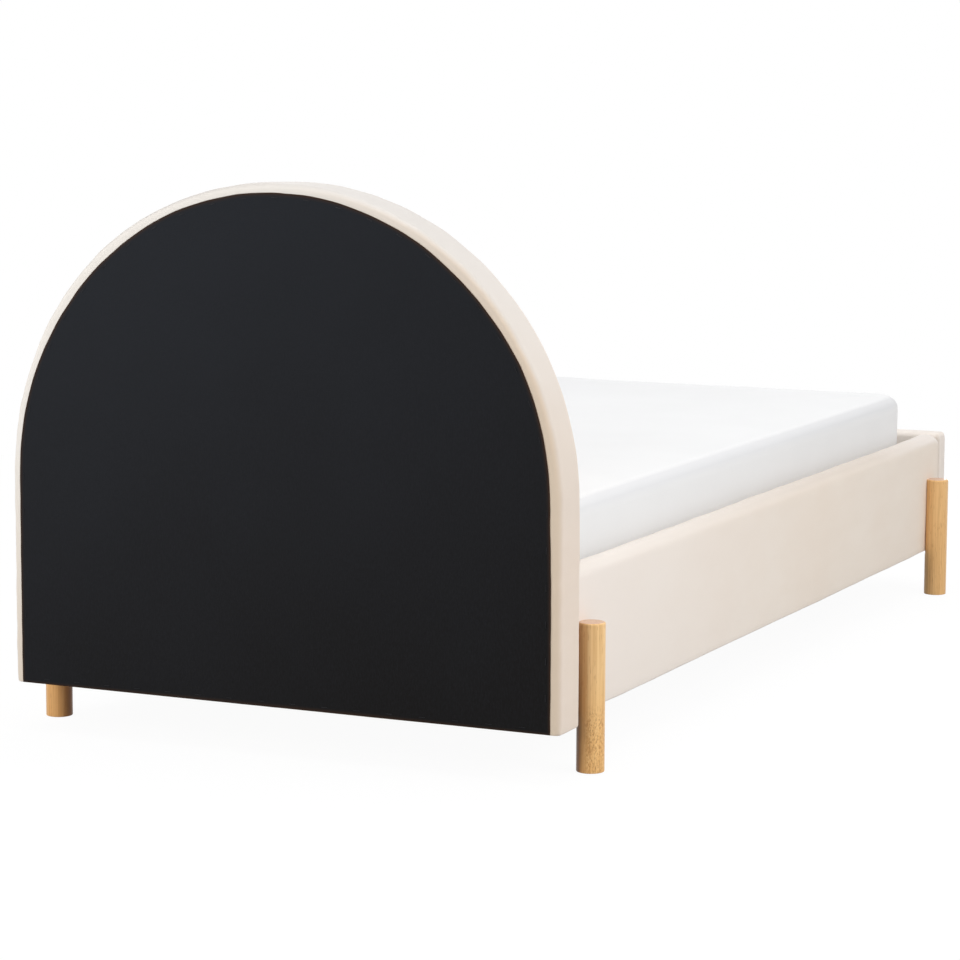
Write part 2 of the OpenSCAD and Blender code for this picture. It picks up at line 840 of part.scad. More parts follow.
// A holder is a saddle under the slat's end, with a peg into the tube
module slat_holders() {
    half_y = slat_w / 2 + holder_wall + screw_play;
    inner_y = slat_w / 2 + screw_play;
    color([0.15, 0.15, 0.15])
    both_sides() for (i = [0:slat_n - 1]) {
        difference() {
            block([base_x - holder_l, slat_y(i) - half_y, tube_top],
                [base_x, slat_y(i) + half_y, slat_top - holder_low]);
            block([base_x - holder_l - eps, slat_y(i) - inner_y, slat_z],
                [base_x - holder_wall, slat_y(i) + inner_y, slat_top]);
        }
        translate([base_x - tube_w / 2, slat_y(i), tube_top - peg_l])
            cylinder(h = peg_l + eps, d = peg_d, $fn = peg_fn);
    }
}

// Points round the mattress's plan, drawn in by e and by the pull of the sides
function mattress_ring(e) =
    let (x = mattress_x - e, y = mattress_l / 2 - e, r = mattress_corner_r - e * corner_follow)
    let (side_x = [for (i = [1:long_steps - 1]) let (t = 2 * i / long_steps - 1)
        [x - mattress_pull * (1 - t * t), t * (y - r)]])
    let (end_y = [for (i = [1:short_steps - 1]) let (t = 1 - 2 * i / short_steps)
        [t * (x - r), y - mattress_pull * (1 - t * t)]])
    let (half = concat(side_x, arc([x - r, y - r], r, 0, 90, top_steps), end_y,
        arc([-x + r, y - r], r, 90, 180, top_steps)))
    concat(half, -half);

// Rings of the mattress from its bottom to its crown: inset, height and scale
mattress_rings = concat(
    [for (a = [0:30:90]) [mattress_low_r * (1 - sin(a)), mattress_low_r * (1 - cos(a)), 1]],
    [[0, mattress_t / 2, 1]],
    [for (a = [0:18:90]) [mattress_top_r * (1 - cos(a)), mattress_t - mattress_top_r * (1 - sin(a)), 1]],
    [for (s = crown_scales) [mattress_top_r, mattress_t + mattress_crown * (1 - s * s), s]]
);

module mattress_form() {
    plans = [for (k = mattress_rings) mattress_ring(k[0]) * k[2]];
    n = len(plans[0]);
    m = len(mattress_rings);
    points = concat(
        [for (k = [0:m - 1], p = plans[k]) [p[0], p[1], mattress_rings[k][1]]],
        [[0, 0, 0], [0, 0, mattress_t + mattress_crown]]
    );
    walls = [for (k = [0:m - 2], i = [0:n - 1])
        let (a = k * n + i, b = k * n + (i + 1) % n) each [[a, a + n, b], [b, a + n, b + n]]];
    bottom = [for (i = [0:n - 1]) [m * n, i, (i + 1) % n]];
    top = [for (i = [0:n - 1]) [m * n + 1, (m - 1) * n + (i + 1) % n, (m - 1) * n + i]];
    translate([0, (mattress_y0 + mattress_y1) / 2, mattress_z])
        polyhedron(points, concat(walls, bottom, top));
}

// How far the core's flat ends keep from the mattress's, so that its edges stay inside an edge of radius r
function core_margin(r) =
    max(core_min, r - sqrt(max(0, (r - core_keep) ^ 2 - (r - mattress_cover_t) ^ 2)));

module mattress_block() {
    x = mattress_x - mattress_cover_t;
    y = mattress_l / 2 - mattress_cover_t;
    r = mattress_corner_r - mattress_cover_t;
    low = core_margin(mattress_low_r);
    high = core_margin(mattress_top_r);
    translate([0, (mattress_y0 + mattress_y1) / 2, mattress_z + low])
        linear_extrude(mattress_t - low - high) rounded(-x, -y, x, y, [r, r, r, r]);
}

module mattress_core() {
    color("lemonchiffon")
    mattress_block();
}

module mattress_cover() {
    color("white")
    difference() {
        mattress_form();
        mattress_block();
    }
}

headboard_arch_ribs();
headboard_stile(-1);  // headboard_stile_left
headboard_stile(1);  // headboard_stile_right
headboard_centre_stile();
headboard_bottom_rail();
headboard_cross_rails();
headboard_front_panel();
headboard_block(-1);  // headboard_block_left
headboard_block(1);  // headboard_block_right
headboard_front_foam();
headboard_edge_foam();
headboard_cover();
headboard_back_cloth();
back_cloth_staples();
side_rail_board(-1);  // side_rail_board_left
side_rail_board(1);  // side_rail_board_right
side_rail_foam(-1);  // side_rail_foam_left
side_rail_foam(1);  // side_rail_foam_right
side_rail_cover(-1);  // side_rail_cover_left
side_rail_cover(1);  // side_rail_cover_right
footboard_board();
footboard_foam();
footboard_cover();
slat_ledge(-1);  // slat_ledge_left
slat_ledge(1);  // slat_ledge_right
ledge_screws();
corner_bracket(-1, y_front, 1);  // bracket_head_left
corner_bracket(1, y_front, 1);  // bracket_head_right
corner_bracket(-1, y_foot, -1);  // bracket_foot_left
corner_bracket(1, y_foot, -1);  // bracket_foot_right
bracket_screws();
headboard_bolts();
headboard_tee_nuts();
footboard_bolts();
footboard_insert_nuts();
bolt_washers();
leg(-1, leg_head_y);  // leg_head_left
leg(1, leg_head_y);  // leg_head_right
leg(-1, leg_foot_y);  // leg_foot_left
leg(1, leg_foot_y);  // leg_foot_right
leg_bolts();
leg_insert_nuts();
slat_tube_side(-1);  // slat_tube_left
slat_tube_side(1);  // slat_tube_right
slat_tube_cross(base_y1 - tube_w);  // slat_tube_head
slat_tube_cross(base_y0);  // slat_tube_foot
tube_end_plugs();
slats();
slat_holders();
mattress_core();
mattress_cover();
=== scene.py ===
import json
import math

import bmesh
import bpy
import numpy as np
from mathutils import Matrix, Vector, noise

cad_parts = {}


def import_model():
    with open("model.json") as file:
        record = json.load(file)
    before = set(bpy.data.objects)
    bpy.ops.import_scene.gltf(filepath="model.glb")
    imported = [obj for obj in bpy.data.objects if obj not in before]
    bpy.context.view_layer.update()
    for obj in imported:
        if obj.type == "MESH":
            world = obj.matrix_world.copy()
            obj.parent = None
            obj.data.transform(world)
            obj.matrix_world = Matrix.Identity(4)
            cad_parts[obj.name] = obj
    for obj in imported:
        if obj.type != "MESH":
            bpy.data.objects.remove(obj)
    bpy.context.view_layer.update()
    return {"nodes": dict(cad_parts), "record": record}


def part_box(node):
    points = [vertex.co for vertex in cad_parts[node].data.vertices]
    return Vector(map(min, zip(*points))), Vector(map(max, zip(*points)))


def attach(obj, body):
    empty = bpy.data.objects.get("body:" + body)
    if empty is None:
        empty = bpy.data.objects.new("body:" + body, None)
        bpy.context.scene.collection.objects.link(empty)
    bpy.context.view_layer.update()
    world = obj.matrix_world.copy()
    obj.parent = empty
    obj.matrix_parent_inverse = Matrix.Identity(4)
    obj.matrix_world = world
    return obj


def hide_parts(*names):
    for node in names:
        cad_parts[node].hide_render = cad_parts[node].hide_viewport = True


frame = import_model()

# Camera
# Fitted to the photograph. Angles are radians, and a negative heading turns from -Y towards +X; the lens and
# the sensor are millimetres, and the reach is metres.
CAMERA_AT = (-2.5850, 5.8638, 1.2189)
CAMERA_HEADING, CAMERA_TILT, CAMERA_ROLL = -0.43353, 0.13707, -0.00422
CAMERA_LENS, CAMERA_SENSOR, CAMERA_REACH = 123.92, 36, 60


def make_camera():
    sin, cos = math.sin, math.cos
    heading, tilt, roll = CAMERA_HEADING, CAMERA_TILT, CAMERA_ROLL
    forward = Vector((-sin(heading) * cos(tilt), -cos(heading) * cos(tilt), -sin(tilt)))
    level = Vector((-cos(heading), sin(heading), 0))
    plumb = forward.cross(level)
    right = cos(roll) * level + sin(roll) * plumb
    down = -sin(roll) * level + cos(roll) * plumb
    turn = Matrix((right, -down, -forward)).transposed().to_4x4()
    data = bpy.data.cameras.new("camera")
    data.lens, data.sensor_width = CAMERA_LENS, CAMERA_SENSOR
    data.clip_end = CAMERA_REACH
    camera = bpy.data.objects.new("camera", data)
    camera.matrix_world = Matrix.Translation(CAMERA_AT) @ turn
    bpy.context.scene.collection.objects.link(camera)
    bpy.context.scene.camera = camera


make_camera()

# Sizes from the frame
# The headboard's arch stands SHOULDER fuller than a circle at 45 degrees. Its front pad starts FRONT_ROOM
# behind the CAD cover's front, because it swells.
SHOULDER, BACK_ROUND, FRONT_ROOM = 0.003, 0.0105, 0.005
low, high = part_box("headboard_cover")
HEAD_R, HEAD_Z0, HEAD_TOP = high.x, low.z, high.z
HEAD_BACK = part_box("back_cloth_staples")[1].y
HEAD_FRONT = low.y + FRONT_ROOM
ARCH_Z = HEAD_TOP - HEAD_R
FLAP_DEPTH = HEAD_BACK - high.y
CLOTH_LOW, CLOTH_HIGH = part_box("headboard_back_cloth")

low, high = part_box("side_rail_cover_right")
RAIL_IN, RAIL_OUT, RAIL_Z0, RAIL_Z1 = low.x, high.x, low.z, high.z
RAIL_Y0, RAIL_Y1 = low.y, high.y
BOARD_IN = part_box("side_rail_board_right")[0].x
low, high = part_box("footboard_cover")
FOOT_Y0, FOOT_Y1 = low.y, high.y
MATTRESS_LOW, MATTRESS_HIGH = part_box("mattress_cover")

# Padding
# How hard it presses on its cover, and how far a point of the cover may move.
PADDING_PRESSURE, SWELL_CAP = 4.0, 0.004


# Noise
def waves(points, length, seed):
    """Smooth noise of about that wavelength, roughly from -1 to 1: plane waves in seeded directions."""
    count, shortest, longest, peak = 9, 0.7, 1.6, 1.4
    rng = np.random.default_rng(seed)
    total = np.zeros(len(points))
    for _ in range(count):
        way = rng.normal(size=3)
        way *= 2 * math.pi / (length * rng.uniform(shortest, longest)) / np.linalg.norm(way)
        total += np.sin(points @ way + rng.uniform(0, 2 * math.pi))
    return total / math.sqrt(count) / peak


def line_noise(run, length, offset=0.0):
    """Smooth noise of about that wavelength, at distances along a line."""
    start = Vector((offset, offset * 0.7, 0))
    return np.array([noise.noise(Vector((at / length, 0, 0)) + start) for at in run])


# Mesh helpers
def new_object(name, points, faces):
    mesh = bpy.data.meshes.new(name)
    mesh.from_pydata([tuple(p) for p in points], [], faces)
    mesh.validate()
    mesh.polygons.foreach_set("use_smooth", [True] * len(mesh.polygons))
    obj = bpy.data.objects.new(name, mesh)
    bpy.context.scene.collection.objects.link(obj)
    return obj


def dress(obj, look):
    obj.data.materials.clear()
    obj.data.materials.append(look)


def face_outwards(obj):
    bm = bmesh.new()
    bm.from_mesh(obj.data)
    bmesh.ops.recalc_face_normals(bm, faces=bm.faces)
    bm.to_mesh(obj.data)
    bm.free()


def bands(count, size):
    """Quads that join each of count closed rings of points to the next."""
    return [(k * size + i, k * size + (i + 1) % size, (k + 1) * size + (i + 1) % size, (k + 1) * size + i)
            for k in range(count - 1) for i in range(size)]


def loft(name, rings, caps="ladder"):
    """Closed skin over rings of equally many points; each end closes with a ladder of quads or one face."""
    rings = np.asarray(rings, float)
    count, size = rings.shape[:2]
    last = (count - 1) * size
    faces = bands(count, size)
    if caps == "ladder":
        for k in (0, last):
            faces += [(k + i, k + i + 1, k + size - 2 - i, k + size - 1 - i) for i in range((size - 1) // 2)]
    else:
        faces += [tuple(range(size)), tuple(range(last, count * size))]
    obj = new_object(name, rings.reshape(-1, 3), faces)
    face_outwards(obj)
    return obj


def vertex_values(mesh, key):
    values = np.zeros(len(mesh.vertices) * 3)
    mesh.vertices.foreach_get(key, values)
    return values.reshape(-1, 3)


def coords(obj):
    return vertex_values(obj.data, "co")


def set_coords(obj, co):
    obj.data.vertices.foreach_set("co", np.ascontiguousarray(co).ravel())
    obj.data.update()


def normals(obj):
    obj.data.update()
    return vertex_values(obj.data, "normal")


def subdivide(obj):
    """Subdivides the mesh once and applies the result."""
    mod = obj.modifiers.new("subdivision", "SUBSURF")
    mod.levels = mod.render_levels = 1
    found = obj.evaluated_get(bpy.context.evaluated_depsgraph_get())
    mesh = bpy.data.meshes.new_from_object(found)
    obj.modifiers.clear()
    obj.data = mesh
    mesh.polygons.foreach_set("use_smooth", [True] * len(mesh.polygons))


def swell(obj, held, stiffness):
    """Cloth under pressure from the padding inside; held is each point's grip, 0 free to 1 fixed."""
    quality, mass, bending, steps = 5, 0.3, 0.5, 20
    start = coords(obj)
    group = obj.vertex_groups.new(name="held")
    grip = np.round(held, 1)
    for level in np.unique(grip):
        if level > 0:
            group.add([int(i) for i in np.where(grip == level)[0]], float(level), "REPLACE")
    mod = obj.modifiers.new("cloth", "CLOTH")
    cloth = mod.settings
    cloth.quality, cloth.mass = quality, mass
    cloth.tension_stiffness = cloth.compression_stiffness = stiffness
    cloth.shear_stiffness, cloth.bending_stiffness = stiffness / 2, bending
    cloth.use_pressure, cloth.uniform_pressure_force = True, PADDING_PRESSURE
    cloth.effector_weights.gravity = 0
    cloth.vertex_group_mass = "held"
    mod.collision_settings.use_collision = False
    scene = bpy.context.scene
    for step in range(1, steps + 1):
        scene.frame_set(step)
    found = obj.evaluated_get(bpy.context.evaluated_depsgraph_get())
    shift = vertex_values(found.data, "co") - start
    size = np.linalg.norm(shift, axis=1, keepdims=True) + 1e-9
    obj.modifiers.clear()
    obj.vertex_groups.clear()
    set_coords(obj, start + shift * SWELL_CAP * np.tanh(size / SWELL_CAP) / size)
    scene.frame_set(1)


# Outlines and easings
def arc(centre, radius, start, end, steps, fuller=0.0):
    """Points on an arc; fuller is how far its 45 degree shoulders stand outside the circle."""
    angles = np.radians(np.linspace(start, end, steps + 1))
    radii = radius + fuller * np.sin(2 * angles) ** 2
    return [(centre[0] + r * math.cos(a), centre[1] + r * math.sin(a)) for r, a in zip(radii, angles)]


def quarter(steps, first=1):
    """For each point of a quarter round, in shares of its radius: how far inside the face it ends on, and how
    far past the face it starts from."""
    angles = np.radians(np.linspace(0, 90, steps + 1)[first:])
    return [(1 - math.sin(a), 1 - math.cos(a)) for a in angles]


def between(start, end, steps):
    """Evenly spaced places between two ends, without the ends."""
    return np.linspace(start, end, steps + 1)[1:-1]


def share(value, start, end):
    """0 up to start, 1 from end, and straight between them."""
    return np.clip((value - start) / (end - start), 0, 1)


def soft_floor(value, keep):
    """Values below keep ease towards zero without reaching it; the others stay."""
    return np.where(value < keep, keep * np.exp(np.minimum(value, keep) / keep - 1), value)


# Material helpers
def feed(tree, socket, value):
    """Gives an input a value, or links another node's output to it."""
    if isinstance(value, bpy.types.NodeSocket):
        tree.links.new(value, socket)
    else:
        socket.default_value = value


def add(tree, kind, settings=None, **inputs):
    """A node with its settings and inputs; i0, i1 and so on are numbered inputs, the others are named."""
    made = tree.nodes.new(kind)
    for key, value in (settings or {}).items():
        setattr(made, key, value)
    for key, value in inputs.items():
        numbered = key[0] == "i" and key[1:].isdigit()
        feed(tree, made.inputs[int(key[1:]) if numbered else key.replace("_", " ")], value)
    return made


def start_material(name):
    made = bpy.data.materials.new(name)
    made.use_nodes = True
    tree = made.node_tree
    place = add(tree, "ShaderNodeTexCoord").outputs["Object"]
    return made, tree, tree.nodes["Principled BSDF"], place


def srgb(red, green, blue):
    """Linear colour, with alpha, of an 8-bit display colour."""
    shares = (level / 255 for level in (red, green, blue))
    linear = (c / 12.92 if c <= 0.04045 else ((c + 0.055) / 1.055) ** 2.4 for c in shares)
    return (*linear, 1.0)


def dimmed(colour, shares):
    """The colour with its red, green and blue each times a share."""
    return (*(c * part for c, part in zip(colour, shares)), 1.0)


def blend_colour(tree, factor, a, b, mode="MIX"):
    made = add(tree, "ShaderNodeMix", {"data_type": "RGBA", "blend_type": mode}, i0=factor, i6=a, i7=b)
    return made.outputs[2]


def layered(tree, tone, *layers):
    """Lays colours over a tone in turn; each layer is a factor and a colour."""
    for factor, colour in layers:
        tone = blend_colour(tree, factor, tone, colour)
    return tone


def ramp(tree, factor, low_at, high_at, low_to=0.0, high_to=1.0):
    return add(tree, "ShaderNodeMapRange", i0=factor, i1=low_at, i2=high_at, i3=low_to, i4=high_to).outputs[0]


def maths(tree, operation, *values):
    inputs = {f"i{k}": value for k, value in enumerate(values)}
    return add(tree, "ShaderNodeMath", {"operation": operation}, **inputs).outputs[0]


def product(tree, a, b):
    return maths(tree, "MULTIPLY", a, b)


def vector_value(tree, operation, *values):
    """A Vector Math node's result that is a number."""
    inputs = {f"i{k}": value for k, value in enumerate(values)}
    return add(tree, "ShaderNodeVectorMath", {"operation": operation}, **inputs).outputs["Value"]


def split(tree, vector):
    """The X, Y and Z of a vector."""
    return tuple(add(tree, "ShaderNodeSeparateXYZ", Vector=vector).outputs)


def facing_up(tree):
    """The surface normal's Z."""
    return split(tree, add(tree, "ShaderNodeTexCoord").outputs["Normal"])[2]


def grain(tree, place, scale, detail=2.0, rough=0.5, stretch=(1, 1, 1), offset=(0, 0, 0), distort=0.0):
    moved = add(tree, "ShaderNodeMapping", i1=offset, i3=stretch, i0=place).outputs[0]
    return add(tree, "ShaderNodeTexNoise", Vector=moved, Scale=scale, Detail=detail, Roughness=rough,
               Distortion=distort).outputs["Fac"]


def cells(tree, place, scale, output="Distance"):
    return add(tree, "ShaderNodeTexVoronoi", Vector=place, Scale=scale).outputs[output]


def bump(tree, shader, height, strength, distance, below=None):
    made = add(tree, "ShaderNodeBump", Height=height, Strength=strength, Distance=distance)
    if below is not None:
        tree.links.new(below, made.inputs["Normal"])
    tree.links.new(made.outputs[0], shader.inputs["Normal"])
    return made.outputs[0]


def set_surface(tree, shader, tone, **values):
    """Links the tone to the shader and sets its other inputs."""
    tree.links.new(tone, shader.inputs["Base Color"])
    for key, value in values.items():
        feed(tree, shader.inputs[key.replace("_", " ")], value)


# Velvet
# Painted light: the pale tone of the rails' painted highlights.
PAINTED_LIGHT_TONE = srgb(240, 232, 226)


def velvet(name, deep, pale, worn, sheen, pad_painted_light):
    """Short pile velvet; the function given last adds one pad's painted light and painted shade."""
    made, tree, shader, place = start_material(name)
    nap = grain(tree, place, 3.2, 2.0, 0.45, offset=(3, 1, 7), distort=0.6)
    brushed = grain(tree, place, 26, 3.0, 0.55, stretch=(1, 0.35, 1), offset=(1, 5, 2))
    pile = grain(tree, place, 900, 2.0, 0.6)
    tone = blend_colour(tree, ramp(tree, nap, 0.2, 0.9), deep, pale)
    tone = layered(tree, tone, (ramp(tree, brushed, 0.35, 0.7, 0.0, 0.22), worn),
                   (ramp(tree, pile, 0.3, 0.7, 0.0, 0.16), dimmed(worn, (0.8, 0.8, 0.8))))
    tone = pad_painted_light(tree, tone, place)
    set_surface(tree, shader, tone, Roughness=0.9, Specular_IOR_Level=0.15, Sheen_Weight=sheen,
                Sheen_Roughness=0.5, Sheen_Tint=(1.0, 0.98, 0.96, 1.0))
    first = bump(tree, shader, brushed, 0.25, 0.0012)
    bump(tree, shader, pile, 0.35, 0.0004, first)
    return made


def rail_painted_light(tree, tone, place):
    """Painted light: paler towards the head end and a highlight on the top's foot end. Painted shade: on the
    upward-facing top, deeper towards the foot, at the top's inner edge and at the footboard joint."""
    x, y, _ = split(tree, place)
    up = facing_up(tree)
    aside = maths(tree, "ABSOLUTE", x)
    # Painted shade on the upward-facing top, where the lamps fall brightest, deeper towards the foot.
    painted_top_shade = blend_colour(tree, ramp(tree, y, -0.3, 0.8), srgb(208, 196, 184), srgb(226, 218, 210))
    inner = ramp(tree, aside, RAIL_IN + 0.018, RAIL_IN + 0.008)
    # Painted light paler towards the head end and on the top's foot end; painted shade at the inner edge and
    # joint.
    return layered(
        tree, tone,
        (ramp(tree, y, -0.2, 0.9, 0.0, 0.7), PAINTED_LIGHT_TONE),
        (ramp(tree, up, 0.1, 0.75, 0.0, 0.85), painted_top_shade),
        (product(tree, inner, ramp(tree, up, 0.2, 0.8, 0.0, 0.5)), srgb(196, 180, 166)),
        (product(tree, ramp(tree, y, -0.6, -0.98), ramp(tree, up, 0.05, 0.5, 0.0, 0.66)), PAINTED_LIGHT_TONE),
        (ramp(tree, y, RAIL_Y0 + 0.014, RAIL_Y0 + 0.006, 0.0, 0.45), srgb(176, 156, 138)))


def foot_painted_light(tree, tone, place):
    """Painted light, paler towards the inner face, and painted shade at the ends where the rails meet it."""
    x, y, _ = split(tree, place)
    end = ramp(tree, maths(tree, "ABSOLUTE", x), RAIL_OUT - 0.012, RAIL_OUT - 0.007)
    joint = ramp(tree, y, FOOT_Y1 - 0.007, FOOT_Y1 - 0.003, 0.0, 0.28)
    return layered(
        tree, tone,
        (ramp(tree, y, FOOT_Y1 - 0.016, FOOT_Y1 - 0.004, 0.0, 0.8), srgb(242, 234, 226)),
        (product(tree, end, joint), srgb(176, 158, 142)))


def head_painted_light(tree, tone, place):
    """Painted shade on the edge, greyer and darker with height and on its upward-facing crest towards +X;
    painted light and shade on the rear flap, paler towards +X and towards the top.
    """
    x, y, z = split(tree, place)
    up = facing_up(tree)
    edge = ramp(tree, y, HEAD_FRONT + 0.004, HEAD_FRONT + 0.024)
    # Painted light and shade on the rear flap: darker towards -X and low down, paler towards +X and the top.
    across = product(tree, ramp(tree, x, -0.48, -0.02), ramp(tree, z, 0.1, 0.5, 0.35, 1.0))
    flap_painted_light = blend_colour(tree, across, srgb(219, 200, 178), srgb(233, 227, 219))
    # Painted shade on the upward-facing crest, darker towards +X.
    crest_painted_shade = blend_colour(tree, ramp(tree, x, 0.12, -0.16), srgb(194, 188, 182), srgb(219, 214, 209))
    return layered(
        tree, tone,
        (product(tree, edge, ramp(tree, z, 0.35, 0.93)), srgb(210, 204, 197)),
        (ramp(tree, y, HEAD_BACK - 0.009, HEAD_BACK - 0.003), flap_painted_light),
        (product(tree, edge, ramp(tree, up, 0.25, 0.85, 0.0, 0.6)), crest_painted_shade))


# Other cloth
def back_cloth_material():
    """Black non-woven cloth, mottled, with painted light that makes it paler towards the top and +X,
    and browner along its folded edge.
    """
    made, tree, shader, place = start_material("back_cloth")
    fibre = grain(tree, place, 420, 4.0, 0.7, stretch=(1, 1, 0.3))
    patch = grain(tree, place, 5, 2.0, 0.5)
    dots = cells(tree, place, 480.0)
    # Painted light: paler towards the top and +X, over a random mottle.
    painted_light_slope = vector_value(tree, "DOT_PRODUCT", place, (0.35, 0.0, 1.0))
    mottle_and_painted_light = maths(tree, "ADD", maths(tree, "MULTIPLY_ADD", patch, 0.25, -0.12), painted_light_slope)
    cut = add(tree, "ShaderNodeAttribute", {"attribute_name": "cut_edge"}).outputs["Fac"]
    tone = blend_colour(tree, ramp(tree, mottle_and_painted_light, 0.0, 0.9), srgb(24, 23, 23), srgb(36, 38, 42))
    tone = layered(tree, tone, (ramp(tree, fibre, 0.4, 0.75, 0.0, 0.3), srgb(40, 41, 45)),
                   (cut, srgb(62, 44, 32)))
    set_surface(tree, shader, tone, Roughness=0.85, Specular_IOR_Level=0.08)
    first = bump(tree, shader, fibre, 0.4, 0.0003)
    bump(tree, shader, dots, 0.3, 0.0002, first)
    return made


def mattress_material():
    """White knitted cloth, with painted shade where the top edge rounds over."""
    made, tree, shader, place = start_material("mattress_cloth")
    knit = cells(tree, place, 520.0)
    soft = grain(tree, place, 6, 2.0, 0.5)
    up = facing_up(tree)
    # Painted shade on the rounded top edge, where the lamps would light it brightest.
    rounded = product(tree, ramp(tree, up, 0.03, 0.4), ramp(tree, up, 0.85, 0.985, 1.0, 0.0))
    tone = blend_colour(tree, ramp(tree, soft, 0.3, 0.7), srgb(236, 236, 236), srgb(238, 238, 238))
    tone = layered(tree, tone, (ramp(tree, knit, 0.0, 0.6, 0.12, 0.0), srgb(215, 215, 216)),
                   (rounded, srgb(221, 221, 222)))
    set_surface(tree, shader, tone, Roughness=0.9, Specular_IOR_Level=0.15, Sheen_Weight=0.1)
    bump(tree, shader, knit, 0.4, 0.0003)
    return made


# Wood
# GRAIN_SCALE draws the pattern out along the grain, and SEED_STEP is how far each seed moves it.
GRAIN_SCALE = 0.06
SEED_STEP = (0.013, 0.009, 0.31)


def along_grain(axis, part=1.0):
    """Texture scale that draws a pattern out along the grain's axis."""
    return tuple(GRAIN_SCALE * part if k == axis else 1 for k in range(3))


def wood(name, centre, light, dark, seed, ring, rough, axis, leg=None):
    """Sawn or turned wood: broad bands, darker lines and fibres, drawn out along the grain's axis, 0 to 2.

    leg holds what a turned leg adds, as in LEG_LOOKS.
    """
    made, tree, shader, place = start_material(name)
    shift = tuple(-at + step * seed for at, step in zip(centre, SEED_STEP))
    bend = grain(tree, place, 7.0, 2.0, 0.5, stretch=along_grain(axis), offset=shift)
    lines = grain(tree, place, ring, 3.0, 0.6, stretch=along_grain(axis, 0.35), offset=shift, distort=0.3)
    fibre = grain(tree, place, 1400, 2.0, 0.6, stretch=along_grain(axis, 0.5), offset=shift)
    tone = blend_colour(tree, ramp(tree, bend, 0.3, 0.7), light, dark)
    tone = blend_colour(tree, ramp(tree, lines, 0.42, 0.68, 0.0, 0.6), tone, dimmed(dark, (0.74, 0.62, 0.48)))
    if leg:
        tone = leg_tones(tree, tone, place, centre, shift, dark, **leg)
        feed(tree, shader.inputs["Coat Weight"], 0.08)
        feed(tree, shader.inputs["Coat Roughness"], 0.22)
    set_surface(tree, shader, tone, Roughness=rough, Specular_IOR_Level=0.22)
    first = bump(tree, shader, lines, 0.12, 0.0004)
    bump(tree, shader, fibre, 0.18, 0.0002, first)
    return made


def leg_tones(tree, tone, place, centre, shift, dark, side_shade, flecks_below, browned):
    """A turned leg: browned low down, painted shade on one side, end grain on top, and pores.

    The painted shade's strength is negative for the other side. Where flecks_below is a height, the leg has
    painted shade along the edge of its darker side, strongest low down, and flecks below that height.
    """
    up = facing_up(tree)
    height = split(tree, place)[2]
    from_middle = add(tree, "ShaderNodeVectorMath", {"operation": "SUBTRACT"}, i0=place, i1=centre).outputs[0]
    off = vector_value(tree, "DOT_PRODUCT", from_middle, (0.9, 0.42, 0.0))
    browning = ramp(tree, height, 0.17, 0.05, 0.0, browned)
    tone = blend_colour(tree, browning, tone, (1.0, 0.88, 0.68, 1.0), "MULTIPLY")
    # Painted shade on the side of the leg that faces in under the bed and headboard.
    painted_side_shade = ramp(tree, off, 0.0, math.copysign(0.019, side_shade), 0.0, abs(side_shade))
    tone = blend_colour(tree, painted_side_shade, tone, dimmed(dark, (0.42, 0.28, 0.19)))
    if flecks_below:
        # Painted shade along the edge of that side, strongest low down.
        bark = product(tree, ramp(tree, off, 0.014, 0.0205), ramp(tree, height, 0.19, 0.09, 0.15, 0.8))
        tone = blend_colour(tree, bark, tone, srgb(96, 62, 38))
    rings = grain(tree, place, 420, 2.0, 0.6, offset=shift)
    end_grain = blend_colour(tree, ramp(tree, rings, 0.4, 0.7), srgb(216, 182, 156), srgb(196, 156, 128))
    pores = grain(tree, place, 650, 1.0, 0.5, stretch=along_grain(2, 1.3), offset=shift)
    tone = layered(tree, tone, (ramp(tree, up, 0.9, 0.97), end_grain),
                   (ramp(tree, pores, 0.64, 0.72, 0.0, 0.4), srgb(156, 92, 46)))
    if flecks_below:
        fleck = grain(tree, place, 520, 2.0, 0.6, stretch=(1, 1, 0.4), offset=shift, distort=0.5)
        low_down = ramp(tree, height, flecks_below, flecks_below * 0.7)
        low_part = product(tree, low_down, ramp(tree, off, 0.013, 0.003))
        tone = layered(
            tree, tone,
            (product(tree, ramp(tree, fleck, 0.5, 0.66, 0.0, 0.6), low_part), srgb(156, 94, 46)),
            (product(tree, ramp(tree, fleck, 0.44, 0.34, 0.0, 0.4), low_part), srgb(255, 226, 170)))
    return tone


# Board, metal, plastic and foam
def chip_board():
    made, tree, shader, place = start_material("board")
    chips = cells(tree, place, 260.0, "Color")
    fine = grain(tree, place, 700, 3.0, 0.6)
    tone = blend_colour(tree, ramp(tree, chips, 0.2, 0.9), srgb(176, 142, 98), srgb(214, 184, 138))
    tone = blend_colour(tree, ramp(tree, fine, 0.35, 0.7, 0.0, 0.4), tone, srgb(140, 106, 70))
    set_surface(tree, shader, tone, Roughness=0.8)
    bump(tree, shader, fine, 0.3, 0.0005)
    return made


def powder_coat():
    made, tree, shader, place = start_material("powder_coat")
    peel = grain(tree, place, 700, 2.0, 0.5)
    worn = grain(tree, place, 18, 3.0, 0.6)
    tone = blend_colour(tree, ramp(tree, worn, 0.3, 0.7), srgb(58, 59, 62), srgb(70, 71, 74))
    set_surface(tree, shader, tone, Roughness=ramp(tree, worn, 0.3, 0.7, 0.42, 0.55))
    bump(tree, shader, peel, 0.2, 0.0003)
    return made


def bright_metal(name, tone_a, tone_b, rough):
    made, tree, shader, place = start_material(name)
    turned = grain(tree, place, 900, 2.0, 0.6, stretch=(0.2, 1, 1))
    haze = grain(tree, place, 90, 3.0, 0.6)
    tone = blend_colour(tree, ramp(tree, haze, 0.3, 0.7), tone_a, tone_b)
    set_surface(tree, shader, tone, Roughness=ramp(tree, turned, 0.3, 0.7, rough, rough + 0.15), Metallic=1.0)
    bump(tree, shader, turned, 0.1, 0.0001)
    return made


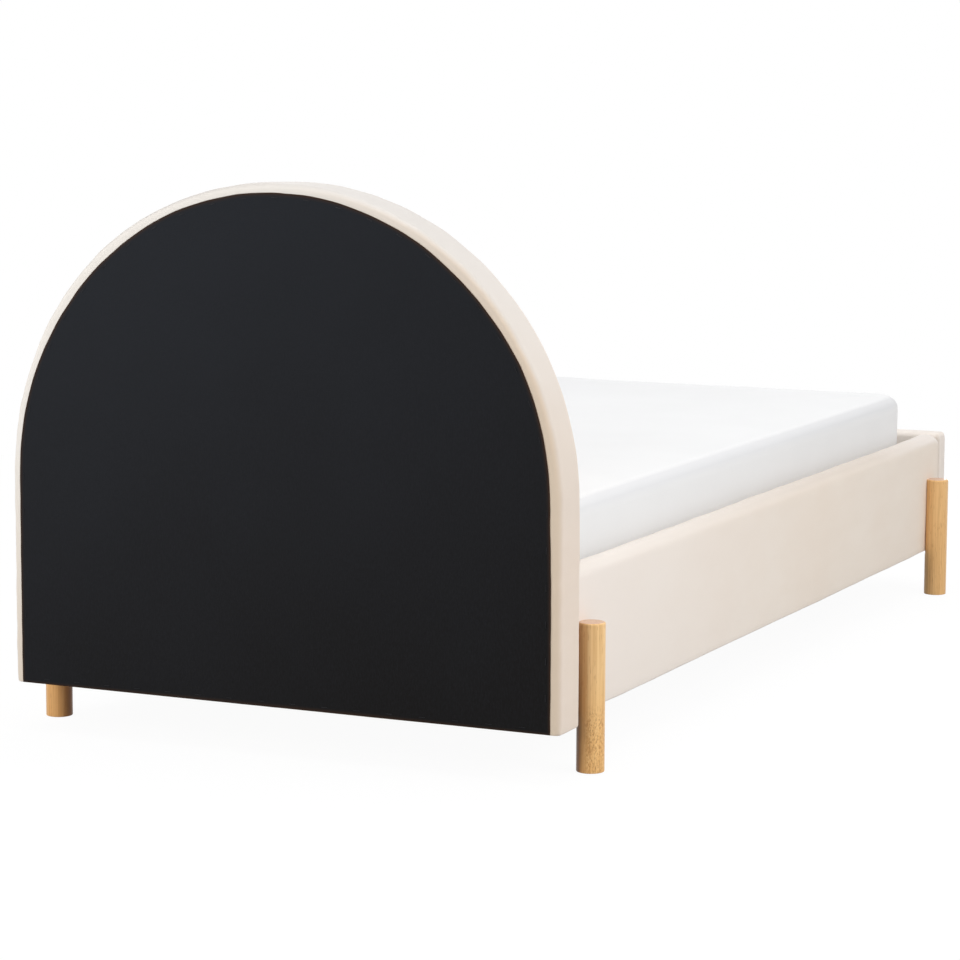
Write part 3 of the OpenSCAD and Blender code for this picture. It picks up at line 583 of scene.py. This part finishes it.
def moulded_plastic():
    made, tree, shader, place = start_material("plastic")
    texture = grain(tree, place, 1100, 2.0, 0.6)
    cloudy = grain(tree, place, 60, 2.0, 0.5)
    tone = blend_colour(tree, ramp(tree, cloudy, 0.3, 0.7), srgb(36, 36, 38), srgb(46, 46, 49))
    set_surface(tree, shader, tone, Roughness=ramp(tree, texture, 0.3, 0.7, 0.48, 0.62))
    bump(tree, shader, texture, 0.25, 0.0002)
    return made


def foam_material():
    made, tree, shader, place = start_material("foam")
    pores = cells(tree, place, 700.0)
    aged = grain(tree, place, 8, 2.0, 0.5)
    tone = blend_colour(tree, ramp(tree, aged, 0.3, 0.7), srgb(232, 222, 184), srgb(240, 232, 204))
    set_surface(tree, shader, tone, Roughness=0.95)
    bump(tree, shader, pores, 0.6, 0.0006)
    return made


RAIL_VELVET = velvet("velvet", srgb(239, 225, 210), srgb(243, 232, 219), srgb(232, 215, 197), 0.5, rail_painted_light)
FOOT_VELVET = velvet("footboard_velvet", srgb(238, 226, 215), srgb(243, 234, 225), srgb(230, 216, 204), 0.7,
                     foot_painted_light)
HEAD_VELVET = velvet("headboard_velvet", srgb(229, 212, 196), srgb(234, 219, 205), srgb(222, 203, 185), 0.5,
                     head_painted_light)
BACK_CLOTH = back_cloth_material()
MATTRESS_CLOTH = mattress_material()


# Headboard
def arch_ring(inset, lift, depth, scale=1.0):
    """The headboard's outline at that depth from the back, drawn in by inset at the sides and arch and by
    lift at the bottom, and scaled about its middle."""
    corner, corner_steps, side_steps, arch_steps, low_steps = 0.004, 4, 26, 100, 55
    r, z0 = HEAD_R - inset, HEAD_Z0 + lift
    side = np.linspace(z0 + corner, ARCH_Z, side_steps, endpoint=False)
    ring = [(-r, z) for z in side]
    ring += arc((0, ARCH_Z), r, 180, 0, arch_steps, SHOULDER)
    ring += [(r, z) for z in side[::-1]]
    ring += arc((r - corner, z0 + corner), corner, 0, -90, corner_steps)[1:]
    ring += [(x, z0) for x in between(r - corner, corner - r, low_steps)]
    ring += arc((corner - r, z0 + corner), corner, -90, -180, corner_steps)[:-1]
    ring = np.array(ring)
    middle = np.array([0.0, (HEAD_Z0 + HEAD_TOP) / 2])
    ring = middle + (ring - middle) * scale
    return np.column_stack([ring[:, 0], np.full(len(ring), HEAD_BACK - depth), ring[:, 1]])


def headboard_rings():
    """Rings from the middle of the back, round the edge, to the middle of the crowned front."""
    clear_of_cloth = 0.0003
    back, front = FLAP_DEPTH + clear_of_cloth, HEAD_BACK - HEAD_FRONT
    back_lift, front_lift, front_round = 0.001, 0.009, 0.021
    crown, crown_from = 0.002, 0.8
    rings = [arch_ring(BACK_ROUND, back_lift, back, scale) for scale in (0.15, 0.5, 0.85, 1.0)]
    rings += [arch_ring(BACK_ROUND * inside, back_lift * inside, back + BACK_ROUND * past)
              for inside, past in quarter(6)]
    rings += [arch_ring(0, 0, depth) for depth in np.linspace(back + BACK_ROUND, front - front_round, 8)[1:]]
    rings += [arch_ring(front_round * past, front_lift * past, front - front_round * inside)
              for inside, past in quarter(8)]
    rings += [arch_ring(front_round, front_lift, front, scale) for scale in (0.94, 0.86)]
    for scale in np.linspace(crown_from, 0.05, 12):
        crowned = front + crown * (1 - (scale / crown_from) ** 2) ** 2
        rings.append(arch_ring(front_round, front_lift, crowned, scale))
    return rings


def outline_distance(co):
    """How far each point lies inside the headboard's sides and arch, seen from the front."""
    rise = np.maximum(co[:, 2] - ARCH_Z, 0)
    angle = np.arctan2(rise, np.abs(co[:, 0]))
    return HEAD_R + SHOULDER * np.sin(2 * angle) ** 2 - np.hypot(co[:, 0], rise)


def outline_run(co):
    """How far along the outline each point lies, from the middle of the arch."""
    up = co[:, 2] > ARCH_Z
    angle = np.arctan2(co[:, 0], np.maximum(co[:, 2] - ARCH_Z, 1e-6))
    return np.where(up, angle * HEAD_R, np.sign(co[:, 0]) * (HEAD_R * math.pi / 2 + ARCH_Z - co[:, 2]))


def over_brackets(co, deeper):
    """Points of the front pad over the corner brackets, deeper than that from the back."""
    inner_side, top = 0.39, 0.22
    return (np.abs(co[:, 0]) > inner_side) & (co[:, 2] < top) & (HEAD_BACK - co[:, 1] > deeper)


def headboard_pad():
    """Padded velvet skin, held at its rear flap, its outline and over the brackets, and swelled elsewhere."""
    held_depth, free_depth, bracket_depth, rim = 0.008, 0.016, 0.05, 0.004
    pad = loft("headboard_upholstery", headboard_rings())
    co = coords(pad)
    held = 1 - share(HEAD_BACK - co[:, 1], held_depth, free_depth)
    at_rim = (outline_distance(co) < rim) | (co[:, 2] < HEAD_Z0 + rim)
    held[at_rim | over_brackets(co, bracket_depth)] = 1.0
    swell(pad, held, stiffness=15.0)
    subdivide(pad)
    farthest, ease = HEAD_FRONT - 0.0052, 0.004
    co = coords(pad)
    co[:, 1] = farthest + soft_floor(co[:, 1] - farthest, ease)
    set_coords(pad, co)
    pucker(pad)
    return pad


def pucker(pad):
    """Small folds pulled in at the stapled rear edge, and the padding's slight unevenness."""
    fold, fold_length, edge_reach, rear_reach = 0.0014, 0.032, 0.02, 0.045
    flat_rear, bracket_depth, over_bracket = 0.006, 0.07, 0.2
    co, nor = coords(pad), normals(pad)
    depth = HEAD_BACK - co[:, 1]
    edge = np.exp(-np.clip(outline_distance(co), 0, None) / edge_reach)
    rear = np.clip(1 - depth / rear_reach, 0, 1) ** 1.5
    upper = co[:, 2] > ARCH_Z - 0.15
    shift = fold * edge * rear * line_noise(outline_run(co), fold_length)
    shift += 0.0006 * waves(co, 0.16, 3) + 0.0005 * edge * waves(co, 0.06, 5) * upper
    shift *= share(depth, FLAP_DEPTH, FLAP_DEPTH + flat_rear)
    shift[over_brackets(co, bracket_depth)] *= over_bracket
    set_coords(pad, co + nor * shift[:, None])


headboard = headboard_pad()
dress(headboard, HEAD_VELVET)
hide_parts("headboard_cover", "headboard_front_foam", "headboard_edge_foam")
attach(headboard, "frame")

# Back cloth
# Its stapled edge isn't quite an arch: degrees round the arch from its +X end, and how many millimetres the
# edge stands out there, negative where it is pulled in.
CLOTH_EDGE = ((0, -0.5), (18, 0.6), (37, -0.8), (45, 0.2), (52, -0.4), (67, 1.1), (77, -0.2), (82, 0.3),
              (93, -0.7), (100, 0.0), (110, -0.7), (122, 0.5), (130, -0.9), (140, 0.0), (152, 2.4),
              (165, -0.2), (178, -2.6), (180, -2.5))
STAPLE_PITCH = 0.0605


def cloth_edge():
    """The folded edge as seen from behind, slightly drawn in between staples."""
    side_steps, arch_steps, low_steps = 60, 300, 149
    drawn_in, wrinkle, wrinkle_length, side_fade, low_share = 0.0003, 0.0003, 0.05, 0.08, 0.3
    r, z0 = CLOTH_HIGH.x, CLOTH_LOW.z
    side = np.linspace(z0, ARCH_Z, side_steps, endpoint=False)
    ring = [(-r, z) for z in side]
    ring += arc((0, ARCH_Z), r, 180, 0, arch_steps)
    ring += [(r, z) for z in side[::-1]]
    ring += [(x, z0) for x in between(r, -r, low_steps)]
    ring = np.array(ring)
    step = np.linalg.norm(np.roll(ring, -1, 0) - ring, axis=1)
    run = np.concatenate([[0], np.cumsum(step)[:-1]])
    scallop = np.abs(np.sin(math.pi * run / STAPLE_PITCH)) ** 1.5
    angle = np.degrees(np.arctan2(np.maximum(ring[:, 1] - ARCH_Z, 0), ring[:, 0]))
    outwards = np.interp(angle, *zip(*CLOTH_EDGE)) / 1000
    outwards *= np.exp(-(np.minimum(ring[:, 1] - ARCH_Z, 0) / side_fade) ** 2)
    inwards = drawn_in * scallop + wrinkle * line_noise(run, wrinkle_length, 4.0) - outwards
    inwards -= np.interp(angle, (90, 145), (0.0012, 0.0003))
    inwards[ring[:, 1] < z0 + 1e-6] *= low_share
    middle = np.array([0.0, ARCH_Z])
    out = ring - middle
    return middle + out * (1 - inwards[:, None] / np.linalg.norm(out, axis=1, keepdims=True))


def cloth_rings(edge, centre):
    """Rings from the hem's hidden cut edge, round the fold, to the middle of the cloth."""
    face, hem = 0.0007, 0.00155
    away = centre - edge
    layers = [(0.014, hem), (0.002, hem), (0.0003, (face + hem) / 2), (0.0012, face)]
    layers += [(inset, face) for inset in (0.004, 0.008, 0.012, 0.018, 0.026)]
    rings = []
    for inset, depth in layers:
        flat = edge + away * inset / np.linalg.norm(away, axis=1, keepdims=True)
        rings.append(np.column_stack([flat[:, 0], np.full(len(flat), HEAD_BACK - depth), flat[:, 1]]))
    first, middle = rings[-1], np.array([0.0, HEAD_BACK - face, centre[1]])
    rings += [middle + (first - middle) * scale for scale in np.linspace(1, 0.03, 26)[1:]]
    return rings, middle


def ripple(points):
    """Slight folds by the edge and a slow wave over the whole cloth, on its outer face only."""
    height, fold_length, reach, most, outer_depth = 0.0004, 0.045, 0.05, 0.0005, 0.0009
    inset = CLOTH_HIGH.x - np.hypot(points[:, 0], np.maximum(points[:, 2] - ARCH_Z, 0))
    near = np.exp(-np.clip(inset, 0, None) / reach)
    folds = line_noise(outline_run(points), fold_length, 2.0)
    shift = height * near * folds + height * waves(points, 0.35, 11)
    outer = points[:, 1] > HEAD_BACK - outer_depth
    points[outer, 1] += np.clip(shift[outer], -most, most)


def back_cloth():
    """Thin cloth stapled over the back, its edge turned in."""
    edge = cloth_edge()
    centre = np.array([0.0, (CLOTH_LOW.z + ARCH_Z + CLOTH_HIGH.x) / 2])
    rings, middle = cloth_rings(edge, centre)
    count, size = len(rings), len(edge)
    points = np.vstack(rings + [middle])
    last = (count - 1) * size
    faces = bands(count, size) + [(last + i, last + (i + 1) % size, count * size) for i in range(size)]
    ripple(points)
    cloth = new_object("headboard_dust_cloth", points, faces)
    worn = [1.0, 1.0, 1.0, 0.8, 0.25] + [0.0] * (count - 5)
    cut = cloth.data.attributes.new("cut_edge", "FLOAT", "POINT")
    cut.data.foreach_set("value", np.repeat(worn, size).tolist() + [0.0])
    face_outwards(cloth)
    return cloth


cloth = back_cloth()
dress(cloth, BACK_CLOTH)
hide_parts("headboard_back_cloth")
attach(cloth, "frame")


# Side rails and footboard
def sweep(name, outline, stations, way, hidden=1.0):
    """Carries an outline of (across, up) points along Y or X.

    Each station is a place and an inset towards the outline's middle. hidden scales the inset of the inner
    side and the underside.
    """
    outline = np.array(outline)
    middle = (outline.min(0) + outline.max(0)) / 2
    rings = []
    for place, inset in stations:
        drawn = np.sign(outline - middle) * np.minimum(inset, np.abs(outline - middle))
        across, up = (outline - np.where(drawn < 0, drawn * hidden, drawn)).T
        along = np.full(len(outline), place)
        rings.append(np.column_stack([across, along, up] if way == "y" else [along, across, up]))
    return loft(name, rings, caps="flat")


def rail_outline():
    """Section of a right-hand rail, from the lower turned-in edge, round the outside, to the upper one."""
    r_low, r_out, r_in = 0.005, 0.020, 0.014
    lower_edge, upper_edge, hem = RAIL_Z0 + 0.020, RAIL_Z0 + 0.140, 0.0005
    turned_in, hidden = RAIL_IN + 0.002, BOARD_IN + 0.001
    points = [(RAIL_IN, z) for z in np.linspace(lower_edge, RAIL_Z0 + r_low, 3, endpoint=False)]
    points += arc((RAIL_IN + r_low, RAIL_Z0 + r_low), r_low, 180, 270, 5)
    points += [(x, RAIL_Z0) for x in between(RAIL_IN + r_low, RAIL_OUT - r_low, 4)]
    points += arc((RAIL_OUT - r_low, RAIL_Z0 + r_low), r_low, -90, 0, 5)
    points += [(RAIL_OUT, z) for z in between(RAIL_Z0 + r_low, RAIL_Z1 - r_out, 25)]
    points += arc((RAIL_OUT - r_out, RAIL_Z1 - r_out), r_out, 0, 90, 8)
    points += [(x, RAIL_Z1) for x in between(RAIL_OUT - r_out, RAIL_IN + r_in, 2)]
    points += arc((RAIL_IN + r_in, RAIL_Z1 - r_in), r_in, 90, 180, 7)
    points += [(RAIL_IN, z) for z in np.linspace(RAIL_Z1 - r_in, upper_edge, 12)[1:]]
    points += [(turned_in, upper_edge - hem), (hidden, upper_edge - hem)]
    points += [(hidden, lower_edge + hem), (turned_in, lower_edge + hem)]
    return points


# How a rail's end rounds: the distance from the end, and how far the section is drawn in there
RAIL_END = ((0.0, 0.012), (0.0006, 0.008), (0.0013, 0.005), (0.0022, 0.003), (0.0034, 0.0014),
            (0.0048, 0.0004), (0.006, 0.0))


def rail_unevenness(co, nor, seed):
    """The rail's slight waves and crown, none at its ends and on the hidden part of its inner side."""
    crown_height, end_fade, hidden_width, hidden_height, inner_face = 0.124, 0.05, 0.012, 0.16, 0.0005
    shown = (co[:, 0] > RAIL_IN + hidden_width) | (co[:, 2] > RAIL_Z0 + hidden_height)
    from_end = np.clip(np.minimum(co[:, 1] - RAIL_Y0, RAIL_Y1 - co[:, 1]) / end_fade, 0, 1)
    outwards, upwards = np.clip(nor[:, 0], 0, 1), np.clip(nor[:, 2], 0, 1)
    crown = np.clip(1 - ((co[:, 2] - (RAIL_Z0 + RAIL_Z1) / 2) / crown_height) ** 2, 0, 1)
    shift = 0.0007 * waves(co, 0.30, seed) + 0.0003 * waves(co, 0.09, seed + 1) + 0.0005 * crown * outwards
    shift += upwards * 0.0006 * waves(co, 0.12, seed + 2)
    shift = np.clip(shift, -0.0012, 0.0014) * from_end * shown
    shift[co[:, 0] < RAIL_IN + inner_face] *= 0.5
    return shift


def lower_foot_end(co):
    """Rounds the rail's top down at its foot end, where the cover is pulled over the corner."""
    length, drop, rounded_part, short_of_upright = 0.042, 0.016, 0.08, 0.9999
    foot = np.clip((RAIL_Y0 + length - co[:, 1]) / length, 0, 1)
    high_up = np.clip((co[:, 2] - RAIL_Z1 + rounded_part) / rounded_part, 0, 1)
    co[:, 2] -= drop * (1 - np.sqrt(1 - foot ** 2 * short_of_upright)) * high_up


def rail_pad(side, hand, seed):
    """Padded velvet cover of a side rail: side is 1 for the right rail and -1 for its mirror image."""
    end_length, straight_count = 0.010, 215
    stations = [(RAIL_Y0 + d, inset) for d, inset in RAIL_END]
    stations += [(y, 0.0) for y in np.linspace(RAIL_Y0 + end_length, RAIL_Y1 - end_length, straight_count)]
    stations += [(RAIL_Y1 - d, inset) for d, inset in reversed(RAIL_END)]
    pad = sweep(f"side_rail_upholstery_{hand}", rail_outline(), stations, "y", hidden=0.25)
    co, nor = coords(pad), normals(pad)
    shift = rail_unevenness(co, nor, seed)
    lower_foot_end(co)
    co = co + nor * shift[:, None]
    co[:, 0] *= side
    set_coords(pad, co)
    if side < 0:
        face_outwards(pad)
    dress(pad, RAIL_VELVET)
    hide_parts(f"side_rail_cover_{hand}", f"side_rail_foam_{hand}")
    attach(pad, "frame")


rail_pad(-1, "left", 30)
rail_pad(1, "right", 20)


def foot_outline():
    """Section of the footboard: the underside, the inner face, the rounded top and the outer face."""
    r_low, r_top = 0.005, 0.012
    outline = arc((FOOT_Y0 + r_low, RAIL_Z0 + r_low), r_low, 180, 270, 5)
    outline += [(y, RAIL_Z0) for y in between(FOOT_Y0 + r_low, FOOT_Y1 - r_low, 4)]
    outline += arc((FOOT_Y1 - r_low, RAIL_Z0 + r_low), r_low, -90, 0, 5)
    outline += [(FOOT_Y1, z) for z in between(RAIL_Z0 + r_low, RAIL_Z1 - r_top, 23)]
    outline += arc((FOOT_Y1 - r_top, RAIL_Z1 - r_top), r_top, 0, 90, 7)
    outline += [(y, RAIL_Z1) for y in between(FOOT_Y1 - r_top, FOOT_Y0 + r_top, 3)]
    outline += arc((FOOT_Y0 + r_top, RAIL_Z1 - r_top), r_top, 90, 180, 7)
    outline += [(FOOT_Y0, z) for z in between(RAIL_Z1 - r_top, RAIL_Z0 + r_low, 23)]
    return outline


def foot_pad():
    """Padded velvet cover of the footboard, flat where the rails meet it."""
    r_end, gap, joint_width, joint_depth, most, end_fade = 0.008, 0.006, 0.060, 0.004, 0.001, 0.03
    end = [(-RAIL_OUT + r_end * past, r_end * inside) for inside, past in quarter(5, first=0)]
    stations = end + [(x, 0.0) for x in np.linspace(-RAIL_OUT + r_end + gap, RAIL_OUT - r_end - gap, 100)]
    stations += [(-x, inset) for x, inset in reversed(end)]
    pad = sweep("footboard_upholstery", foot_outline(), stations, "x")
    co, nor = coords(pad), normals(pad)
    joint = (co[:, 1] > FOOT_Y1 - joint_depth) & (np.abs(co[:, 0]) > RAIL_IN - joint_width)
    shift = 0.0006 * waves(co, 0.25, 41) + 0.0003 * waves(co, 0.08, 42)
    shift = np.clip(shift, -most, most) * np.clip((RAIL_OUT - np.abs(co[:, 0])) / end_fade, 0.15, 1)
    shift[joint] = 0
    set_coords(pad, co + nor * shift[:, None])
    dress(pad, FOOT_VELVET)
    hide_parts("footboard_cover", "footboard_foam")
    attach(pad, "frame")


foot_pad()

# Mattress
# Its skin starts a little inside the CAD cover, because it swells.
MATTRESS_Z0, MATTRESS_Z1 = MATTRESS_LOW.z + 0.0004, MATTRESS_HIGH.z - 0.004
MATTRESS_MARGIN, MATTRESS_CROWN = 0.0015, 0.004


def mattress_ring(inset, z, scale=1.0):
    """The mattress's outline at a height, drawn in by inset; its sides pull in between the round corners."""
    corner, pull, side_steps, end_steps, corner_steps = 0.080, 0.003, 89, 39, 12
    half_x = MATTRESS_HIGH.x - MATTRESS_MARGIN
    half_y = (MATTRESS_HIGH.y - MATTRESS_LOW.y) / 2 - MATTRESS_MARGIN
    x, y, r = half_x - inset, half_y - inset, corner - inset * 0.7
    points = [(x - pull * (1 - t * t), t * (y - r)) for t in between(-1, 1, side_steps)]
    points += arc((x - r, y - r), r, 0, 90, corner_steps)
    points += [(t * (x - r), y - pull * (1 - t * t)) for t in between(1, -1, end_steps)]
    points += arc((-x + r, y - r), r, 90, 180, corner_steps)
    points = np.array(points)
    points = np.vstack([points, -points]) * scale
    middle_y = (MATTRESS_HIGH.y + MATTRESS_LOW.y) / 2
    return np.column_stack([points[:, 0], points[:, 1] + middle_y, np.full(len(points), z)])


def mattress_rings():
    """Rings from the middle of the underside, up the sides, to the middle of the crowned top."""
    z0, z1, r_top, r_low = MATTRESS_Z0, MATTRESS_Z1, 0.027, 0.018
    rings = [mattress_ring(r_low, z0, scale) for scale in (0.1, 0.3, 0.5, 0.7, 0.85, 1.0)]
    rings += [mattress_ring(r_low * inside, z0 + r_low * past) for inside, past in quarter(5)]
    rings += [mattress_ring(0, z) for z in np.linspace(z0 + r_low, z1 - r_top, 11)[1:]]
    rings += [mattress_ring(r_top * past, z1 - r_top * inside) for inside, past in quarter(7)]
    rings += [mattress_ring(r_top, z1 + MATTRESS_CROWN * (1 - s * s), s) for s in np.linspace(0.95, 0.05, 19)]
    return rings


def mattress_pad():
    """Foam mattress in its cover: swelled, slightly wavy, with a seam round its lower edge."""
    held_height, free_height, low_fade, ease = 0.004, 0.012, 0.03, 0.002
    seam_height, seam_width, seam_depth = 0.034, 0.003, 0.0016
    pad = loft("mattress_body", mattress_rings())
    held = 1 - share(coords(pad)[:, 2] - MATTRESS_Z0, held_height, free_height)
    swell(pad, held, stiffness=40.0)
    subdivide(pad)
    co, nor = coords(pad), normals(pad)
    wall = 1 - np.abs(nor[:, 2])
    shift = 0.0006 * waves(co, 0.6, 61) + 0.0002 * waves(co, 0.2, 62)
    shift += wall * 0.0005 * waves(co * np.array([1, 1, 0.25]), 0.14, 63)
    shift *= share(co[:, 2] - MATTRESS_Z0, 0, low_fade)
    shift -= seam_depth * np.exp(-((co[:, 2] - (MATTRESS_Z0 + seam_height)) / seam_width) ** 2) * wall
    co = co + nor * shift[:, None]
    for axis, least, most in ((0, -MATTRESS_HIGH.x, MATTRESS_HIGH.x), (1, MATTRESS_LOW.y, MATTRESS_HIGH.y)):
        co[:, axis] = least + soft_floor(co[:, axis] - least, ease)
        co[:, axis] = most - soft_floor(most - co[:, axis], ease)
    set_coords(pad, co)
    return pad


mattress = mattress_pad()
dress(mattress, MATTRESS_CLOTH)
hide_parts("mattress_cover", "mattress_core")
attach(mattress, "mattress")

# Finishes of the CAD nodes
PINE, PINE_DARK = srgb(222, 190, 142), srgb(204, 166, 116)
BIRCH, BIRCH_DARK = srgb(228, 204, 164), srgb(214, 184, 140)
ORIGIN, ALONG_X, ALONG_Y, ALONG_Z = (0, 0, 0), 0, 1, 2
SLOT_LOOKS = {
    "timber": wood("timber", ORIGIN, PINE, PINE_DARK, 1.0, 120, 0.65, ALONG_X),
    "board": chip_board(),
    "slat_wood": wood("slat_wood", ORIGIN, BIRCH, BIRCH_DARK, 2.0, 160, 0.55, ALONG_X),
    "frame_steel": powder_coat(),
    "fastener_steel": bright_metal("zinc", srgb(176, 178, 182), srgb(196, 197, 200), 0.32),
    "staple_steel": bright_metal("staple_wire", srgb(38, 38, 40), srgb(48, 48, 50), 0.5),
    "nut_brass": bright_metal("yellow_zinc", srgb(196, 164, 98), srgb(210, 182, 120), 0.35),
    "plastic": moulded_plastic(),
    "foam": foam_material(),
    "velvet": RAIL_VELVET,
    "back_cloth": BACK_CLOTH,
    "mattress_cloth": MATTRESS_CLOTH,
    "mattress_foam": foam_material(),
}
LEDGE_WOOD = wood("ledge_timber", ORIGIN, PINE, PINE_DARK, 3.0, 120, 0.65, ALONG_Y)

# Each leg's light and dark wood, and what leg_tones adds. The head right leg's wood is darker, a painted
# shade.
PLAIN_LEG = (srgb(248, 209, 154), srgb(238, 192, 132), {"side_shade": 0.02, "flecks_below": 0.0, "browned": 0.1})
LEG_LOOKS = {
    "leg_head_left": (srgb(249, 212, 156), srgb(236, 192, 131),
                      {"side_shade": 0.75, "flecks_below": 0.12, "browned": 0.8}),
    "leg_head_right": (srgb(240, 200, 147), srgb(226, 179, 122),
                       {"side_shade": -0.88, "flecks_below": 0.0, "browned": 0.8}),
    "leg_foot_left": PLAIN_LEG,
    "leg_foot_right": PLAIN_LEG,
}


def leg_wood(name, seed):
    low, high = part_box(name)
    middle = ((low.x + high.x) / 2, (low.y + high.y) / 2, 0)
    light, dark, leg = LEG_LOOKS[name]
    return wood(name + "_wood", middle, light, dark, seed, 260.0, 0.36, ALONG_Z, leg)


slots = {part["node"]: part["material_slot"] for part in frame["record"]["subparts"]}
for number, (name, node) in enumerate(sorted(frame["nodes"].items())):
    if slots[name] == "leg_wood":
        dress(node, leg_wood(name, 1.0 + number))
    elif name.startswith("slat_ledge"):
        dress(node, LEDGE_WOOD)
    else:
        dress(node, SLOT_LOOKS[slots[name]])


# Floor, world and lamps
def seen_directly(tree, path):
    """1 for what the camera sees, in gloss too, and 0 for other light."""
    return maths(tree, "MAXIMUM", path.outputs["Is Camera Ray"], path.outputs["Is Glossy Ray"])


def floor():
    """Pale floor that turns white before the camera and keeps a faint shadow near the bed."""
    size, sunk, grey = 14, 0.0005, 0.46
    near, far, near_share = 1.4, 3.2, 0.95
    obj = new_object("floor", [(-size, -size, 0), (size, -size, 0), (size, size, 0), (-size, size, 0)],
                     [(0, 1, 2, 3)])
    obj.location.z = -sunk
    made, tree, shader, place = start_material("floor")
    path = add(tree, "ShaderNodeLightPath")
    tone = blend_colour(tree, path.outputs["Is Camera Ray"], (grey, grey, grey, 1.0), (1.0, 1.0, 1.0, 1.0))
    set_surface(tree, shader, tone, Roughness=0.9, Specular_IOR_Level=0.1)
    away = vector_value(tree, "LENGTH", place)
    factor = product(tree, seen_directly(tree, path), ramp(tree, away, near, far, near_share, 1.0))
    white = add(tree, "ShaderNodeEmission", Color=(1, 1, 1, 1), Strength=1.0)
    mix = add(tree, "ShaderNodeMixShader", i0=factor, i1=shader.outputs[0], i2=white.outputs[0])
    tree.links.new(mix.outputs[0], tree.nodes["Material Output"].inputs["Surface"])
    dress(obj, made)


def world():
    """Soft pale light all round, seen by the camera as plain white."""
    made = bpy.data.worlds.new("world")
    made.use_nodes = True
    tree = made.node_tree
    path = add(tree, "ShaderNodeLightPath")
    soft = tree.nodes["Background"]
    feed(tree, soft.inputs["Color"], (0.97, 0.98, 1.0, 1.0))
    feed(tree, soft.inputs["Strength"], 0.55)
    white = add(tree, "ShaderNodeBackground", Color=(1, 1, 1, 1), Strength=1.0)
    seen = seen_directly(tree, path)
    mix = add(tree, "ShaderNodeMixShader", i0=seen, i1=soft.outputs[0], i2=white.outputs[0])
    tree.links.new(mix.outputs[0], tree.nodes["World Output"].inputs["Surface"])
    bpy.context.scene.world = made


def lamp(name, at, towards, size, watts, colour=(1, 1, 1)):
    data = bpy.data.lights.new(name, "AREA")
    data.shape, data.size, data.size_y = "RECTANGLE", size[0], size[1]
    data.energy, data.color = watts, colour
    obj = bpy.data.objects.new(name, data)
    obj.location = at
    obj.rotation_euler = (Vector(towards) - Vector(at)).to_track_quat("-Z", "Y").to_euler()
    bpy.context.scene.collection.objects.link(obj)


floor()
world()
lamp("key", (-3.8, 0.7, 2.8), (0, 0.0, 0.3), (2.2, 2.2), 69, (1.0, 0.985, 0.965))
lamp("side", (-2.4, 1.5, 1.0), (-0.5, 0.9, 0.25), (1.0, 1.0), 5, (0.95, 0.98, 1.0))
lamp("overhead", (0.2, -0.2, 16), (0, 0, 0), (14.5, 14.5), 1070)
lamp("fill", (1.5, 3.7, 1.4), (0.2, 1.0, 0.6), (1.6, 1.6), 47)
lamp("foot", (0.5, -4.4, 0.3), (0, -1.0, 0.25), (1.8, 0.5), 46)
bpy.context.scene.view_settings.view_transform = "Standard"
